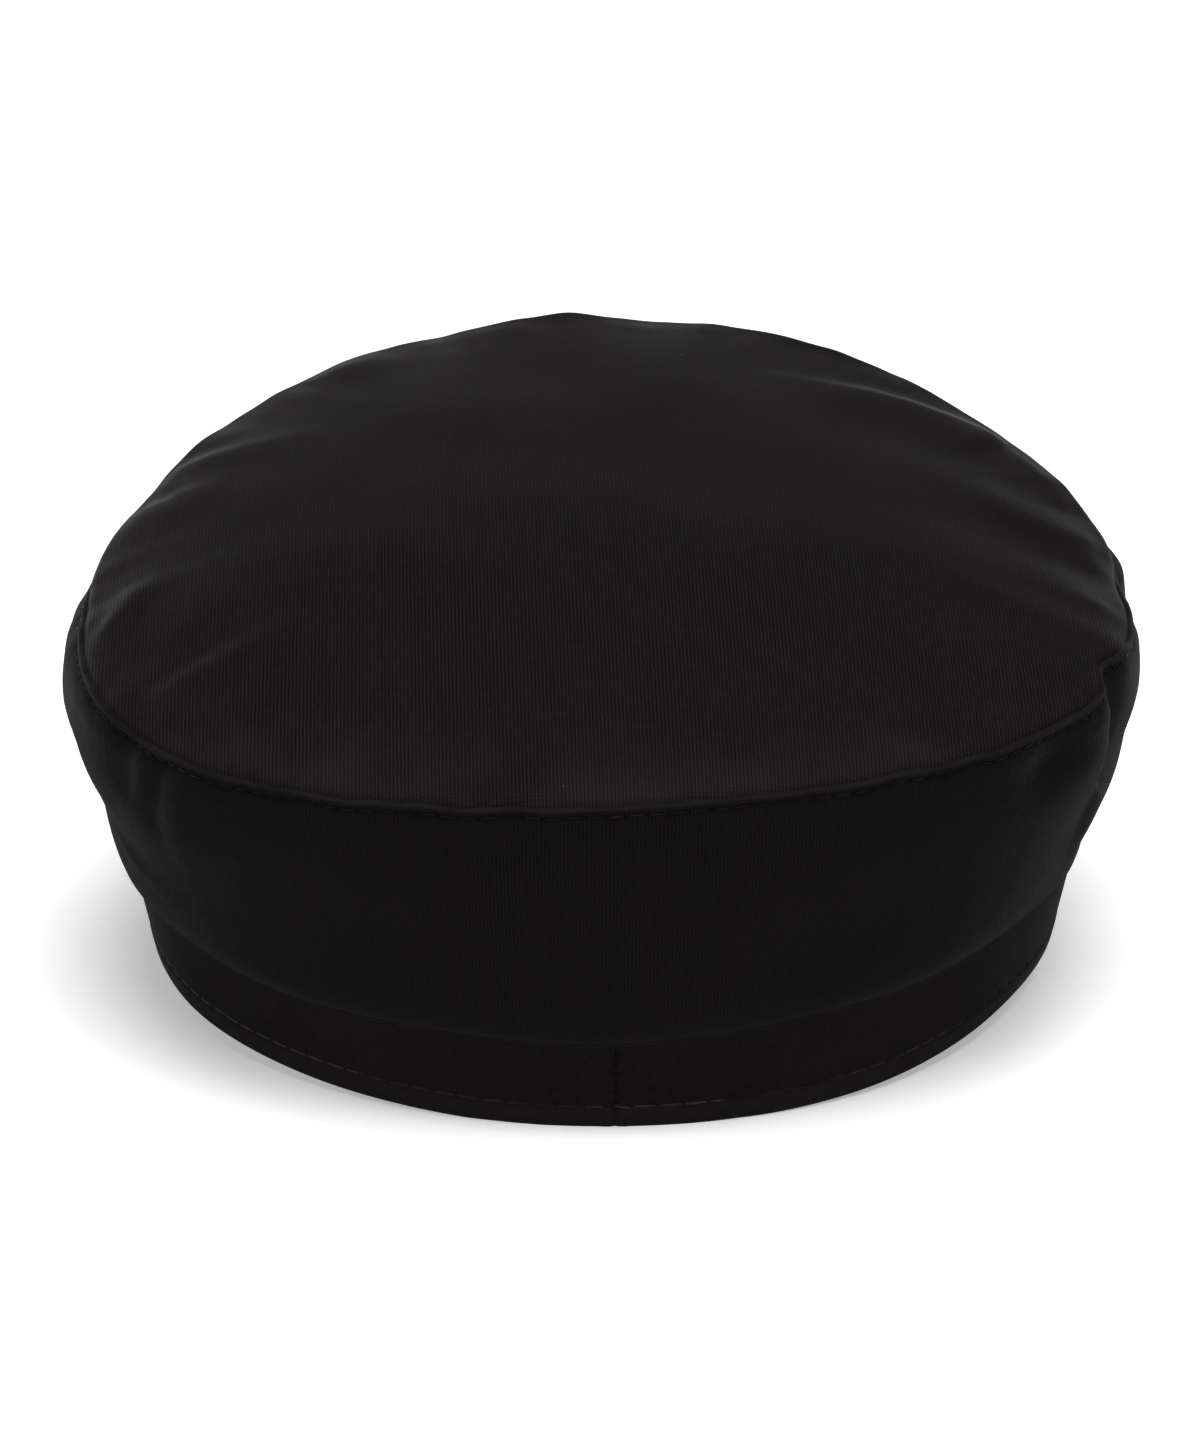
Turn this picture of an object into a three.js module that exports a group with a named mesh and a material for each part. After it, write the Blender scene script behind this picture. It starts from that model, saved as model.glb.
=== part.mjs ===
// A soft marine cap: a wide domed crown top, a flared crown wall, a stiffened head band and a short peak.
// Millimetres, +Z up. The peak faces -Y and the back of the cap faces +Y.
// The cap stands as it does on a table: on the rim of its peak and the back of its head band.
// Angles run round the cap from the middle of its back, positive towards -X.
import * as THREE from "three";
import { ParametricGeometry } from "three/addons/geometries/ParametricGeometry.js";

// Driving dimensions, in millimetres and degrees
const BAND_HALF_WIDTH = 90.5; // outside of the band's lower edge, for a head of about 57.5 cm
const BAND_HALF_LENGTH = 98;
const BAND_HEIGHT = 24;
const BAND_FLARE = 3; // how much further out the band's upper edge lies
const BAND_THICKNESS = 2.4; // two cloths and their stiffening

const CLOTH = 1.4; // crown cloth with its fused backing
const GAP = 0.3; // between neighbouring pieces

const SEAM_HALF_WIDTH = 104.5; // the seam between crown top and crown wall
const SEAM_BACK_REACH = 110;
const SEAM_FRONT_REACH = 112;
const SEAM_BACK_SQUARENESS = 2.4; // 2 is an ellipse, more is squarer
const SEAM_FRONT_SQUARENESS = 2;
const SEAM_BACK_HEIGHT = 72.4; // above the band's lower edge
const SEAM_SIDE_HEIGHT = 69;
const SEAM_FRONT_HEIGHT = 88;

const WALL_LAP = 4.5; // how far the wall hangs over the top of the band
const WALL_BACK_ROLL = 2.8; // soft roll of spare cloth just above the band, fullest at back and front
const WALL_SIDE_ROLL = 0.6;
const WALL_ROLL_PLACE = 0.14; // share of the wall's height where the roll is fullest
const WALL_BULGE = 4.6; // fullness of the wall, greatest at about two thirds of its height
const WALL_BACK_BULGE = 1.8; // the back is drawn straighter
const WALL_FOLD_RISE = 0.35; // shares of a fold's height over which it rises and dies away
const WALL_FOLD_FALL = 0.2;

const TOP_CENTRE_HEIGHT = 92; // middle of the crown top above the band's lower edge
const TOP_ROUNDING = 2.4; // 2 is an even dome, more is flatter in the middle
const PULL_FADE = 7; // a pull at the seam dies away towards the middle, faster with a higher power
const SEAM_HOLD = 0.06; // share of the way in from the seam over which it holds the folds down
const TOP_FOLD_RISE = 0.12; // shares of a fold's length over which it rises and dies away
const TOP_FOLD_FALL = 0.6;

const PEAK_HALF_ANGLE = 78; // where the peak ends, on each side of the front
const PEAK_REACH = 139; // from the middle of the head to the front of the rim
const PEAK_HALF_WIDTH = 89.5;
const PEAK_THICKNESS = 2.8;
const PEAK_TIP_THICKNESS = 1.2; // it thins towards its two tips
const PEAK_TIP_TAPER = 0.15; // share of each half over which it thins
const PEAK_TUCK = 2; // how far the peak lies under the band's edge
const PEAK_ARCH = 3.2; // rise of the peak's surface above a straight slope
const PEAK_REST_ANGLE = 38; // the rim lies on the table this far to each side

const REST_TILT = 5; // the band lifts at the front, over the peak
const REST_SINK = 0.6; // how far the band's back edge is pressed flat

// Mesh fineness
const TURN_STEPS = 120;
const PEAK_STEPS = 36;
const TOP_RATIOS = [0, 0.3, 0.5, 0.64, 0.76, 0.86, 0.93, 0.98, 1];
const WALL_SHARES = [0, 0.07, 0.16, 0.32, 0.5, 0.68, 0.85, 1];
const PEAK_SHARES = [0, 0.25, 0.5, 0.75, 1];

// Stretches where the wall's lower edge sits higher on the band: angle, half width in degrees, millimetres up
const FOOT_RISES = [
  { angle: -42, spread: 14, up: -1.4 },
  { angle: 22, spread: 16, up: 1.4 },
  { angle: 52, spread: 20, up: 2.2 },
];

// Places where the seam strays from its cut: angle, half width in degrees, millimetres inwards and down
const SEAM_PULLS = [
  { angle: -50, spread: 22, inward: 0, down: 1.2 },
  { angle: 25, spread: 20, inward: 0, down: -1.9 },
  { angle: 55, spread: 30, inward: 0, down: -2.8 },
  { angle: 62, spread: 5.5, inward: 3.4, down: 0 },
  { angle: 66, spread: 6, inward: 0, down: -1.7 },
  { angle: 93, spread: 6, inward: 1.4, down: 0.4 },
  { angle: 116, spread: 9, inward: 0, down: -1.5 },
  { angle: 142, spread: 22, inward: 0, down: -0.9 },
  { angle: 173, spread: 5, inward: 0, down: 1 },
  { angle: -100, spread: 26, inward: 1.8, down: 0.4 },
  { angle: -118, spread: 7, inward: 0.8, down: 0.6 },
  { angle: -145, spread: 9, inward: 0.6, down: 0.2 },
];

// Folds of the crown top: soft ridges between two places given as angle and share of the way to the seam
const TOP_FOLDS = [
  { fromAngle: -79, fromRatio: 0.985, toAngle: -94, toRatio: 0.82, width: 5, height: 2 },
  { fromAngle: -59, fromRatio: 0.985, toAngle: -57, toRatio: 0.62, width: 8, height: 1.3 },
  { fromAngle: -111, fromRatio: 0.97, toAngle: -120, toRatio: 0.74, width: 6, height: 1.2 },
  { fromAngle: -121, fromRatio: 0.97, toAngle: -129, toRatio: 0.73, width: 6, height: 1.3 },
  { fromAngle: -145, fromRatio: 0.98, toAngle: -159, toRatio: 0.84, width: 9, height: 1.2 },
  { fromAngle: 127, fromRatio: 0.94, toAngle: 158, toRatio: 0.7, width: 6, height: 2.4 },
  { fromAngle: 114, fromRatio: 0.975, toAngle: 136, toRatio: 0.895, width: 5, height: 1.2 },
  { fromAngle: 95.5, fromRatio: 0.985, toAngle: 118, toRatio: 0.69, width: 6, height: 2 },
  { fromAngle: 75, fromRatio: 0.98, toAngle: 89, toRatio: 0.79, width: 6, height: 1.2 },
];

// Folds of the crown wall: angle at the lower and upper end, the shares of the height that they span,
// half width in degrees, and millimetres outwards
const WALL_FOLDS = [
  { lowAngle: 74, highAngle: 66, low: 0.3, high: 1.1, spread: 4, out: -2.8 },
  { lowAngle: 68, highAngle: 60, low: 0.2, high: 1.04, spread: 4.5, out: 1.6 },
  { lowAngle: 45.5, highAngle: 45.5, low: 0.66, high: 1.02, spread: 4, out: -2.6 },
  { lowAngle: -53, highAngle: -53, low: 0.5, high: 1.04, spread: 3, out: -1.4 },
  { lowAngle: -60, highAngle: -60, low: 0.55, high: 1.04, spread: 3.4, out: -1.8 },
  { lowAngle: -86, highAngle: -83, low: 0.3, high: 0.75, spread: 8, out: -1.8 },
  { lowAngle: -58, highAngle: -80, low: 0.16, high: 0.5, spread: 6, out: 1.4 },
  { lowAngle: 92, highAngle: 94, low: 0.55, high: 1.02, spread: 6, out: -2 },
  { lowAngle: 84, highAngle: 84, low: 0.4, high: 1.1, spread: 16, out: -1.3 },
  { lowAngle: 104, highAngle: 104, low: 0.5, high: 1.02, spread: 7, out: 2.4 },
  { lowAngle: -84, highAngle: -84, low: 0.3, high: 1.05, spread: 24, out: 1.5 },
  { lowAngle: -84, highAngle: -84, low: -0.3, high: 0.45, spread: 26, out: 2.2 },
  { lowAngle: -118, highAngle: -118, low: 0.4, high: 1.02, spread: 8, out: -1.6 },
];

const DEG = Math.PI / 180;
const mix = (a, b, t) => a + (b - a) * t;
const bell = (offset, spread) => Math.exp(-((offset / spread) ** 2));
const clamp01 = (t) => Math.min(1, Math.max(0, t));
const smooth = (t) => clamp01(t) ** 2 * (3 - 2 * clamp01(t));

// The shortest way from one angle to another, in degrees
function angleBetween(a, b) {
  return ((((a - b + 180) % 360) + 360) % 360) - 180;
}

// Distance from the middle to an oval that may be squarer at the back than at the front
function ovalRadius(angle, halfWidth, backReach, frontReach, backPower, frontPower) {
  const across = Math.abs(Math.sin(angle * DEG)) / halfWidth;
  const along = Math.cos(angle * DEG);
  const reach = along >= 0 ? backReach : frontReach;
  const power = along >= 0 ? backPower : frontPower;
  return (across ** power + (Math.abs(along) / reach) ** power) ** (-1 / power);
}

// A point at an angle and a distance from the middle
function polar(angle, radius, height, target = new THREE.Vector3()) {
  return target.set(-radius * Math.sin(angle * DEG), radius * Math.cos(angle * DEG), height);
}

function bandRadius(angle, height) {
  const edge = ovalRadius(angle, BAND_HALF_WIDTH, BAND_HALF_LENGTH, BAND_HALF_LENGTH, 2, 2);
  return edge + (BAND_FLARE * height) / BAND_HEIGHT;
}

function seamPull(angle, way) {
  return SEAM_PULLS.reduce((sum, p) => sum + p[way] * bell(angleBetween(angle, p.angle), p.spread), 0);
}

// The seam as it is cut, before any pull: its distance from the middle and its height
function cutRadius(angle) {
  return ovalRadius(
    angle,
    SEAM_HALF_WIDTH,
    SEAM_BACK_REACH,
    SEAM_FRONT_REACH,
    SEAM_BACK_SQUARENESS,
    SEAM_FRONT_SQUARENESS,
  );
}

function cutHeight(angle) {
  const along = Math.cos(angle * DEG);
  const end = along >= 0 ? SEAM_BACK_HEIGHT : SEAM_FRONT_HEIGHT;
  return mix(SEAM_SIDE_HEIGHT, end, along ** 2);
}

// The table's height below or above the band's lower edge, in the cap's own level frame
function tableHeight(y) {
  return REST_SINK - (BAND_HALF_LENGTH - y) * Math.tan(REST_TILT * DEG);
}

// A closed solid swept round the cap: ring(angle, index) gives the points of its section in turn
function sweptRing(count, ring) {
  const place = (u, v, target) => target.copy(ring(u * 360, Math.round(v * count) % count));
  return new ParametricGeometry(place, TURN_STEPS, count);
}

// How far the folds lift the crown top at a place seen from above
function topFold(x, y) {
  return TOP_FOLDS.reduce((sum, f) => {
    const from = polar(f.fromAngle, f.fromRatio * cutRadius(f.fromAngle), 0);
    const to = polar(f.toAngle, f.toRatio * cutRadius(f.toAngle), 0);
    const run = to.clone().sub(from);
    const offset = new THREE.Vector3(x, y, 0).sub(from);
    const along = clamp01(offset.dot(run) / run.lengthSq());
    const away = offset.sub(run.multiplyScalar(along)).length();
    const fade = smooth(along / TOP_FOLD_RISE) * smooth((1 - along) / TOP_FOLD_FALL);
    return sum + f.height * fade * bell(away, f.width);
  }, 0);
}

function topPoint(angle, ratio, below) {
  const pull = ratio ** PULL_FADE;
  const point = polar(angle, ratio * cutRadius(angle) - pull * seamPull(angle, "inward"), 0);
  const dome = mix(TOP_CENTRE_HEIGHT, cutHeight(angle), ratio ** TOP_ROUNDING);
  const keepsSeam = smooth((1 - ratio) / SEAM_HOLD);
  point.z = dome - pull * seamPull(angle, "down") + keepsSeam * topFold(point.x, point.y) - below;
  return point;
}

// The crown top: its underside from the middle outwards, then its upper side back to the middle
function crownTop() {
  const rings = TOP_RATIOS.length;
  const section = (angle, index) =>
    index < rings
      ? topPoint(angle, TOP_RATIOS[index], CLOTH)
      : topPoint(angle, TOP_RATIOS[2 * rings - 1 - index], 0);
  const last = 2 * rings - 1;
  const place = (u, v, target) => target.copy(section(u * 360, Math.round(v * last)));
  return new ParametricGeometry(place, TURN_STEPS, last);
}

// How far the folds push the crown wall outwards
function wallFold(angle, share) {
  return WALL_FOLDS.reduce((sum, f) => {
    const along = (share - f.low) / (f.high - f.low);
    const middle = mix(f.lowAngle, f.highAngle, clamp01(along));
    const fade = smooth(along / WALL_FOLD_RISE) * smooth((1 - along) / WALL_FOLD_FALL);
    return sum + f.out * fade * bell(angleBetween(angle, middle), f.spread);
  }, 0);
}

// The height of the wall's lower edge
function footHeight(angle) {
  const rise = FOOT_RISES.reduce((sum, r) => sum + r.up * bell(angleBetween(angle, r.angle), r.spread), 0);
  return BAND_HEIGHT - WALL_LAP + rise;
}

function wallRadius(angle, share) {
  const foot = bandRadius(angle, footHeight(angle)) + GAP + CLOTH;
  const roll = (share / WALL_ROLL_PLACE) * Math.exp(1 - share / WALL_ROLL_PLACE);
  const rollSize = mix(WALL_SIDE_ROLL, WALL_BACK_ROLL, Math.cos(angle * DEG) ** 2);
  const toBack = Math.max(0, Math.cos(angle * DEG)) ** 2;
  const bulge = mix(WALL_BULGE, WALL_BACK_BULGE, toBack) * Math.sin(Math.PI * share ** 2);
  const head = cutRadius(angle) - seamPull(angle, "inward");
  return mix(foot, head, share) + rollSize * roll + bulge + wallFold(angle, share);
}

function wallPoint(angle, share, inward) {
  const seam = cutHeight(angle) - seamPull(angle, "down");
  const height = mix(footHeight(angle), seam - CLOTH - GAP, share);
  return polar(angle, wallRadius(angle, share) - inward, height);
}

// The crown wall: from a lap over the band up to the seam, leaning out, with a roll and a bulge
function crownWall() {
  const rows = WALL_SHARES.length;
  return sweptRing(2 * rows, (angle, index) =>
    index < rows
      ? wallPoint(angle, WALL_SHARES[index], 0)
      : wallPoint(angle, WALL_SHARES[2 * rows - 1 - index], CLOTH),
  );
}

function bandPoint(angle, height, inward) {
  const point = polar(angle, bandRadius(angle, height) - inward, height);
  if (height === 0) point.z = Math.max(0, tableHeight(point.y));
  return point;
}

// The head band: a stiff ring whose lower edge is pressed flat where it meets the table
function headBand() {
  const section = [
    { height: 0, inward: 0 },
    { height: BAND_HEIGHT / 2, inward: 0 },
    { height: BAND_HEIGHT, inward: 0 },
    { height: BAND_HEIGHT, inward: BAND_THICKNESS },
    { height: BAND_HEIGHT / 2, inward: BAND_THICKNESS },
    { height: 0, inward: BAND_THICKNESS },
  ];
  return sweptRing(section.length, (angle, index) =>
    bandPoint(angle, section[index].height, section[index].inward),
  );
}

function peakThickness(across) {
  return mix(PEAK_TIP_THICKNESS, PEAK_THICKNESS, smooth((1 - Math.abs(across)) / PEAK_TIP_TAPER));
}

// A place on the peak: across runs from end to end, share from the band to the rim
function peakPoint(across, share, below) {
  const angle = 180 + across * PEAK_HALF_ANGLE;
  const root = polar(angle, bandRadius(angle, 0) - PEAK_TUCK, -GAP);
  const end = polar(180 + PEAK_HALF_ANGLE, bandRadius(180 + PEAK_HALF_ANGLE, 0) - PEAK_TUCK, 0);
  const sweep = across * 90 * DEG;
  const rimX = mix(PEAK_HALF_WIDTH, end.x, across ** 4) * Math.sin(sweep);
  const rimY = end.y - (PEAK_REACH + end.y) * Math.cos(sweep);
  const lies = smooth((90 - Math.abs(sweep / DEG)) / (90 - PEAK_REST_ANGLE));
  const rim = new THREE.Vector3(rimX, rimY, mix(-GAP, tableHeight(rimY) + PEAK_THICKNESS, lies));
  const arch = PEAK_ARCH * Math.sin(Math.PI * share) * Math.cos(sweep);
  const point = root.lerp(rim, share);
  point.z += arch - below;
  return point;
}

// The peak: a crescent under the front of the band, sloping down to a rim that lies on the table
function peak() {
  const rows = PEAK_SHARES.length;
  const count = 2 * rows;
  const section = (across, index) =>
    index < rows
      ? peakPoint(across, PEAK_SHARES[rows - 1 - index], 0)
      : peakPoint(across, PEAK_SHARES[index - rows], peakThickness(across));
  const place = (u, v, target) => target.copy(section(2 * u - 1, Math.round(v * count) % count));
  return new ParametricGeometry(place, PEAK_STEPS, count);
}

// Black cotton cloth with a slight sheen
function cloth(colour, roughness) {
  return new THREE.MeshStandardMaterial({ color: colour, roughness, metalness: 0 });
}

const CROWN_BLACK = 0x1d1b1c;
const BAND_BLACK = 0x181617;

function piece(name, geometry, material) {
  const mesh = new THREE.Mesh(geometry, material);
  mesh.name = name;
  return mesh;
}

// The pieces in the cap's own level frame, tilted about the back edge as they stand on the table
const cap = new THREE.Group();
cap.add(
  piece("crown_top", crownTop(), cloth(CROWN_BLACK, 0.82)),
  piece("crown_wall", crownWall(), cloth(CROWN_BLACK, 0.82)),
  piece("head_band", headBand(), cloth(BAND_BLACK, 0.85)),
  piece("peak", peak(), cloth(BAND_BLACK, 0.8)),
);
cap.rotation.x = -REST_TILT * DEG;

// The origin is under the middle of the whole outline, on the table
const marineCap = new THREE.Group();
marineCap.add(cap);
const outline = new THREE.Box3().setFromObject(marineCap, true);
const middle = outline.getCenter(new THREE.Vector3());
cap.position.set(-middle.x, -middle.y, -outline.min.z);

export default marineCap;
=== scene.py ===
"""The looks of a soft black marine cap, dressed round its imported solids.

The cap is drawn in its own level frame, in millimetres: the head band's lower edge lies at z = 0, the back of
the cap faces +Y and its peak -Y. Angles run round it in degrees from the middle of the back, positive towards
-X. Seat then stands the cap on the table, in the row frame's metres.
"""

import logging
import math
from abc import ABC, abstractmethod
from dataclasses import dataclass
from enum import Enum
from functools import lru_cache
from typing import Callable, ClassVar

import bmesh
import bpy
from mathutils import Matrix, Vector, noise


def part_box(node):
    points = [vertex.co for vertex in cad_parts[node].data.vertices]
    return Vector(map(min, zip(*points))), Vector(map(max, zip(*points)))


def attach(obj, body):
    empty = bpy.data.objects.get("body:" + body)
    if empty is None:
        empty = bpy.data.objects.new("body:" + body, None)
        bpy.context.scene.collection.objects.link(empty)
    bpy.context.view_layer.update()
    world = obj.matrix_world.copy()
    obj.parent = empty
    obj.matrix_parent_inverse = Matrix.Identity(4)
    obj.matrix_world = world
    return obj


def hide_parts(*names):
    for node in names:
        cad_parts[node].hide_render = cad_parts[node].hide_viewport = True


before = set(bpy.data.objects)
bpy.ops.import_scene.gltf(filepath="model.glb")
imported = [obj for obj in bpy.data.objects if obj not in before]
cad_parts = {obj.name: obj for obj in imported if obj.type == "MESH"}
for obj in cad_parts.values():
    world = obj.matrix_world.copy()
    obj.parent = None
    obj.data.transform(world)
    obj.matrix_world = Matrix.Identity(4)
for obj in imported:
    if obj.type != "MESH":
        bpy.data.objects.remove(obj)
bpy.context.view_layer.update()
LOG = logging.getLogger("marine_cap")
MM = 0.001
WELD_DISTANCE = 2e-6
SLIVER_LENGTH = 1e-7
UP = Vector((0.0, 0.0, 1.0))
FRONT = 180.0
QUARTER_TURN = 90.0
ELLIPSE = (2.0, 2.0)
Colour = tuple[float, float, float, float]
Socket = bpy.types.NodeSocket
StitchPlaces = list[tuple[Vector, Vector]]


def mix(a: float, b: float, t: float) -> float:
    """Goes from a to b as t goes from 0 to 1."""
    return a + (b - a) * t


def smooth(t: float) -> float:
    """Eases from 0 to 1 as t does, and holds beyond."""
    held = min(1.0, max(0.0, t))
    return held * held * (3 - 2 * held)


def bell(offset: float, spread: float) -> float:
    """A soft bump of height 1 about offset 0."""
    return math.exp(-((offset / spread) ** 2))


def angle_between(a: float, b: float) -> float:
    """The shortest way from angle b to angle a, in degrees."""
    return (a - b + 180.0) % 360.0 - 180.0


def polar(angle: float, radius: float, height: float) -> Vector:
    """The point at an angle, a distance from the middle and a height."""
    turn = math.radians(angle)
    return Vector((-radius * math.sin(turn), radius * math.cos(turn), height))


def half_round(start: Vector, end: Vector, bulge: Vector, share: float) -> Vector:
    """A point of the half oval from start to end whose middle stands out by bulge."""
    turn = math.pi * share
    return start.lerp(end, (1 - math.cos(turn)) / 2) + bulge * math.sin(turn)


def oval(angle: float, width: float, reach: tuple[float, float], powers: tuple[float, float]) -> float:
    """Distance from the middle to an oval whose back and front may differ.

    Args:
        angle: where on the oval.
        width: its half width.
        reach: how far it reaches to the back and to the front.
        powers: squareness of the back and of the front, 2 being an ellipse.

    Returns:
        The distance in millimetres.
    """
    turn = math.radians(angle)
    along = math.cos(turn)
    end = 0 if along >= 0 else 1
    power = powers[end]
    across = abs(math.sin(turn)) / width
    return (across**power + (abs(along) / reach[end]) ** power) ** (-1 / power)


class Slot(Enum):
    """The record's material slots."""

    CROWN = "crown_cloth"
    BAND = "band_cloth"
    PEAK = "peak_cloth"


@dataclass(frozen=True)
class Ripple:
    """Small soft waves of the cloth. An upright share below 1 draws them out upwards."""

    height: float
    size: float
    upright: float = 1.0

    def at(self, point: Vector) -> float:
        """How far the waves move the cloth at a point."""
        squeezed = Vector((point.x, point.y, point.z * self.upright))
        return self.height * noise.noise(squeezed / self.size)


@dataclass(frozen=True)
class Patches:
    """Soft patches that are scattered over the cloth."""

    size: float
    mean: float
    spread: float

    def at(self, point: Vector) -> float:
        """How strong the patches are at a point, and 0 between them."""
        return max(0.0, self.mean + self.spread * noise.noise(point / self.size))


@dataclass(frozen=True)
class Local:
    """A change to the cap about one angle, which fades to both sides."""

    angle: float
    spread: float

    def weight(self, angle: float) -> float:
        """How much of the change is felt at an angle, from 0 to 1."""
        return bell(angle_between(angle, self.angle), self.spread)


@dataclass(frozen=True)
class SeamPull(Local):
    """A place where the crown's seam strays from its cut."""

    inward: float
    down: float


@dataclass(frozen=True)
class FootRise(Local):
    """A stretch of the crown wall whose foot sits higher on the band."""

    up: float


@dataclass(frozen=True)
class BandPush(Local):
    """A stretch of the band that is bent outwards at its lower and upper edge."""

    low: float
    high: float


@dataclass(frozen=True)
class WallFold:
    """An upright or slanting fold of the crown wall.

    Its ends are given as angles and shares of the wall's height, minus and plus are its widths in degrees
    towards lower and higher angles, out is how far it stands out, and bow is above 1 where it slants
    more at its low end than at its high one.
    """

    RISE: ClassVar[float] = 0.35
    FALL: ClassVar[float] = 0.2
    FELT: ClassVar[float] = 3.0

    low_angle: float
    high_angle: float
    low: float
    high: float
    minus: float
    plus: float
    out: float
    bow: float = 1.0

    def push(self, angle: float, share: float) -> float:
        """How far the fold pushes the wall outwards.

        Args:
            angle: where round the cap.
            share: where on the wall's height, from 0 at the foot to 1 at the seam.

        Returns:
            The push in millimetres.
        """
        along = (share - self.low) / (self.high - self.low)
        if along <= 0 or along >= 1:
            return 0.0
        slant = 1 - (1 - along) ** self.bow
        offset = angle_between(angle, mix(self.low_angle, self.high_angle, slant))
        spread = self.plus if offset > 0 else self.minus
        if abs(offset) >= self.FELT * spread:
            return 0.0
        fade = smooth(along / self.RISE) * smooth((1 - along) / self.FALL)
        return self.out * fade * bell(offset, spread)


@dataclass(frozen=True)
class WallDent:
    """A round dent or swelling of the crown wall, wide in degrees and tall in shares of its height."""

    FELT: ClassVar[float] = 3.0

    angle: float
    share: float
    wide: float
    tall: float
    out: float

    def push(self, angle: float, share: float) -> float:
        """How far the dent pushes the wall outwards.

        Args:
            angle: where round the cap.
            share: where on the wall's height, from 0 at the foot to 1 at the seam.

        Returns:
            The push in millimetres.
        """
        offset = angle_between(angle, self.angle)
        if abs(offset) >= self.FELT * self.wide:
            return 0.0
        return self.out * bell(offset, self.wide) * bell(share - self.share, self.tall)


@dataclass(frozen=True)
class TopFold:
    """A crease of the crown top that runs in from the seam and bends on its way.

    Its three places are angles with shares of the way to the seam, and left and right are its widths on the
    two sides of someone who walks along it from the seam.
    """

    start: tuple[float, float]
    bend: tuple[float, float]
    end: tuple[float, float]
    left: float
    right: float
    height: float


@dataclass(frozen=True, eq=False)
class Crease:
    """A fold of the crown top with the points of its bent line, seen from above."""

    STEPS: ClassVar[int] = 7
    RISE: ClassVar[float] = 0.12
    FALL: ClassVar[float] = 0.6
    WIDTHS_FELT: ClassVar[float] = 2.6
    LENGTHS_FELT: ClassVar[float] = 0.65

    fold: TopFold
    line: tuple[Vector, ...]

    @classmethod
    def laid(cls, fold: TopFold, start: Vector, bend: Vector, end: Vector) -> "Crease":
        """Lays a fold along a curve.

        Args:
            fold: its sizes.
            start: the curve's first point.
            bend: the point that it passes halfway.
            end: its last point.

        Returns:
            The crease.
        """
        middle = 2 * bend - (start + end) / 2
        shares = [step / cls.STEPS for step in range(cls.STEPS + 1)]
        return cls(fold, tuple(start.lerp(middle, t).lerp(middle.lerp(end, t), t) for t in shares))

    def lift(self, place: Vector) -> float:
        """How far the crease lifts the crown top.

        Args:
            place: a point of the top seen from above, with z at 0.

        Returns:
            The lift in millimetres.
        """
        length = (self.line[-1] - self.line[0]).length
        felt = self.WIDTHS_FELT * max(self.fold.left, self.fold.right) + self.LENGTHS_FELT * length
        if (place - self.line[len(self.line) // 2]).length > felt:
            return 0.0
        nearest = (math.inf, 0.0, 0.0)
        for step, (before, after) in enumerate(zip(self.line, self.line[1:])):
            run = after - before
            offset = place - before
            along = min(1.0, max(0.0, offset.dot(run) / run.length_squared))
            away = (offset - run * along).length
            if away < nearest[0]:
                side = run.x * offset.y - run.y * offset.x
                nearest = (away, side, (step + along) / self.STEPS)
        away, side, share = nearest
        width = self.fold.left if side > 0 else self.fold.right
        fade = smooth(share / self.RISE) * smooth((1 - share) / self.FALL)
        return self.fold.height * fade * bell(away, width)


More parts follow.
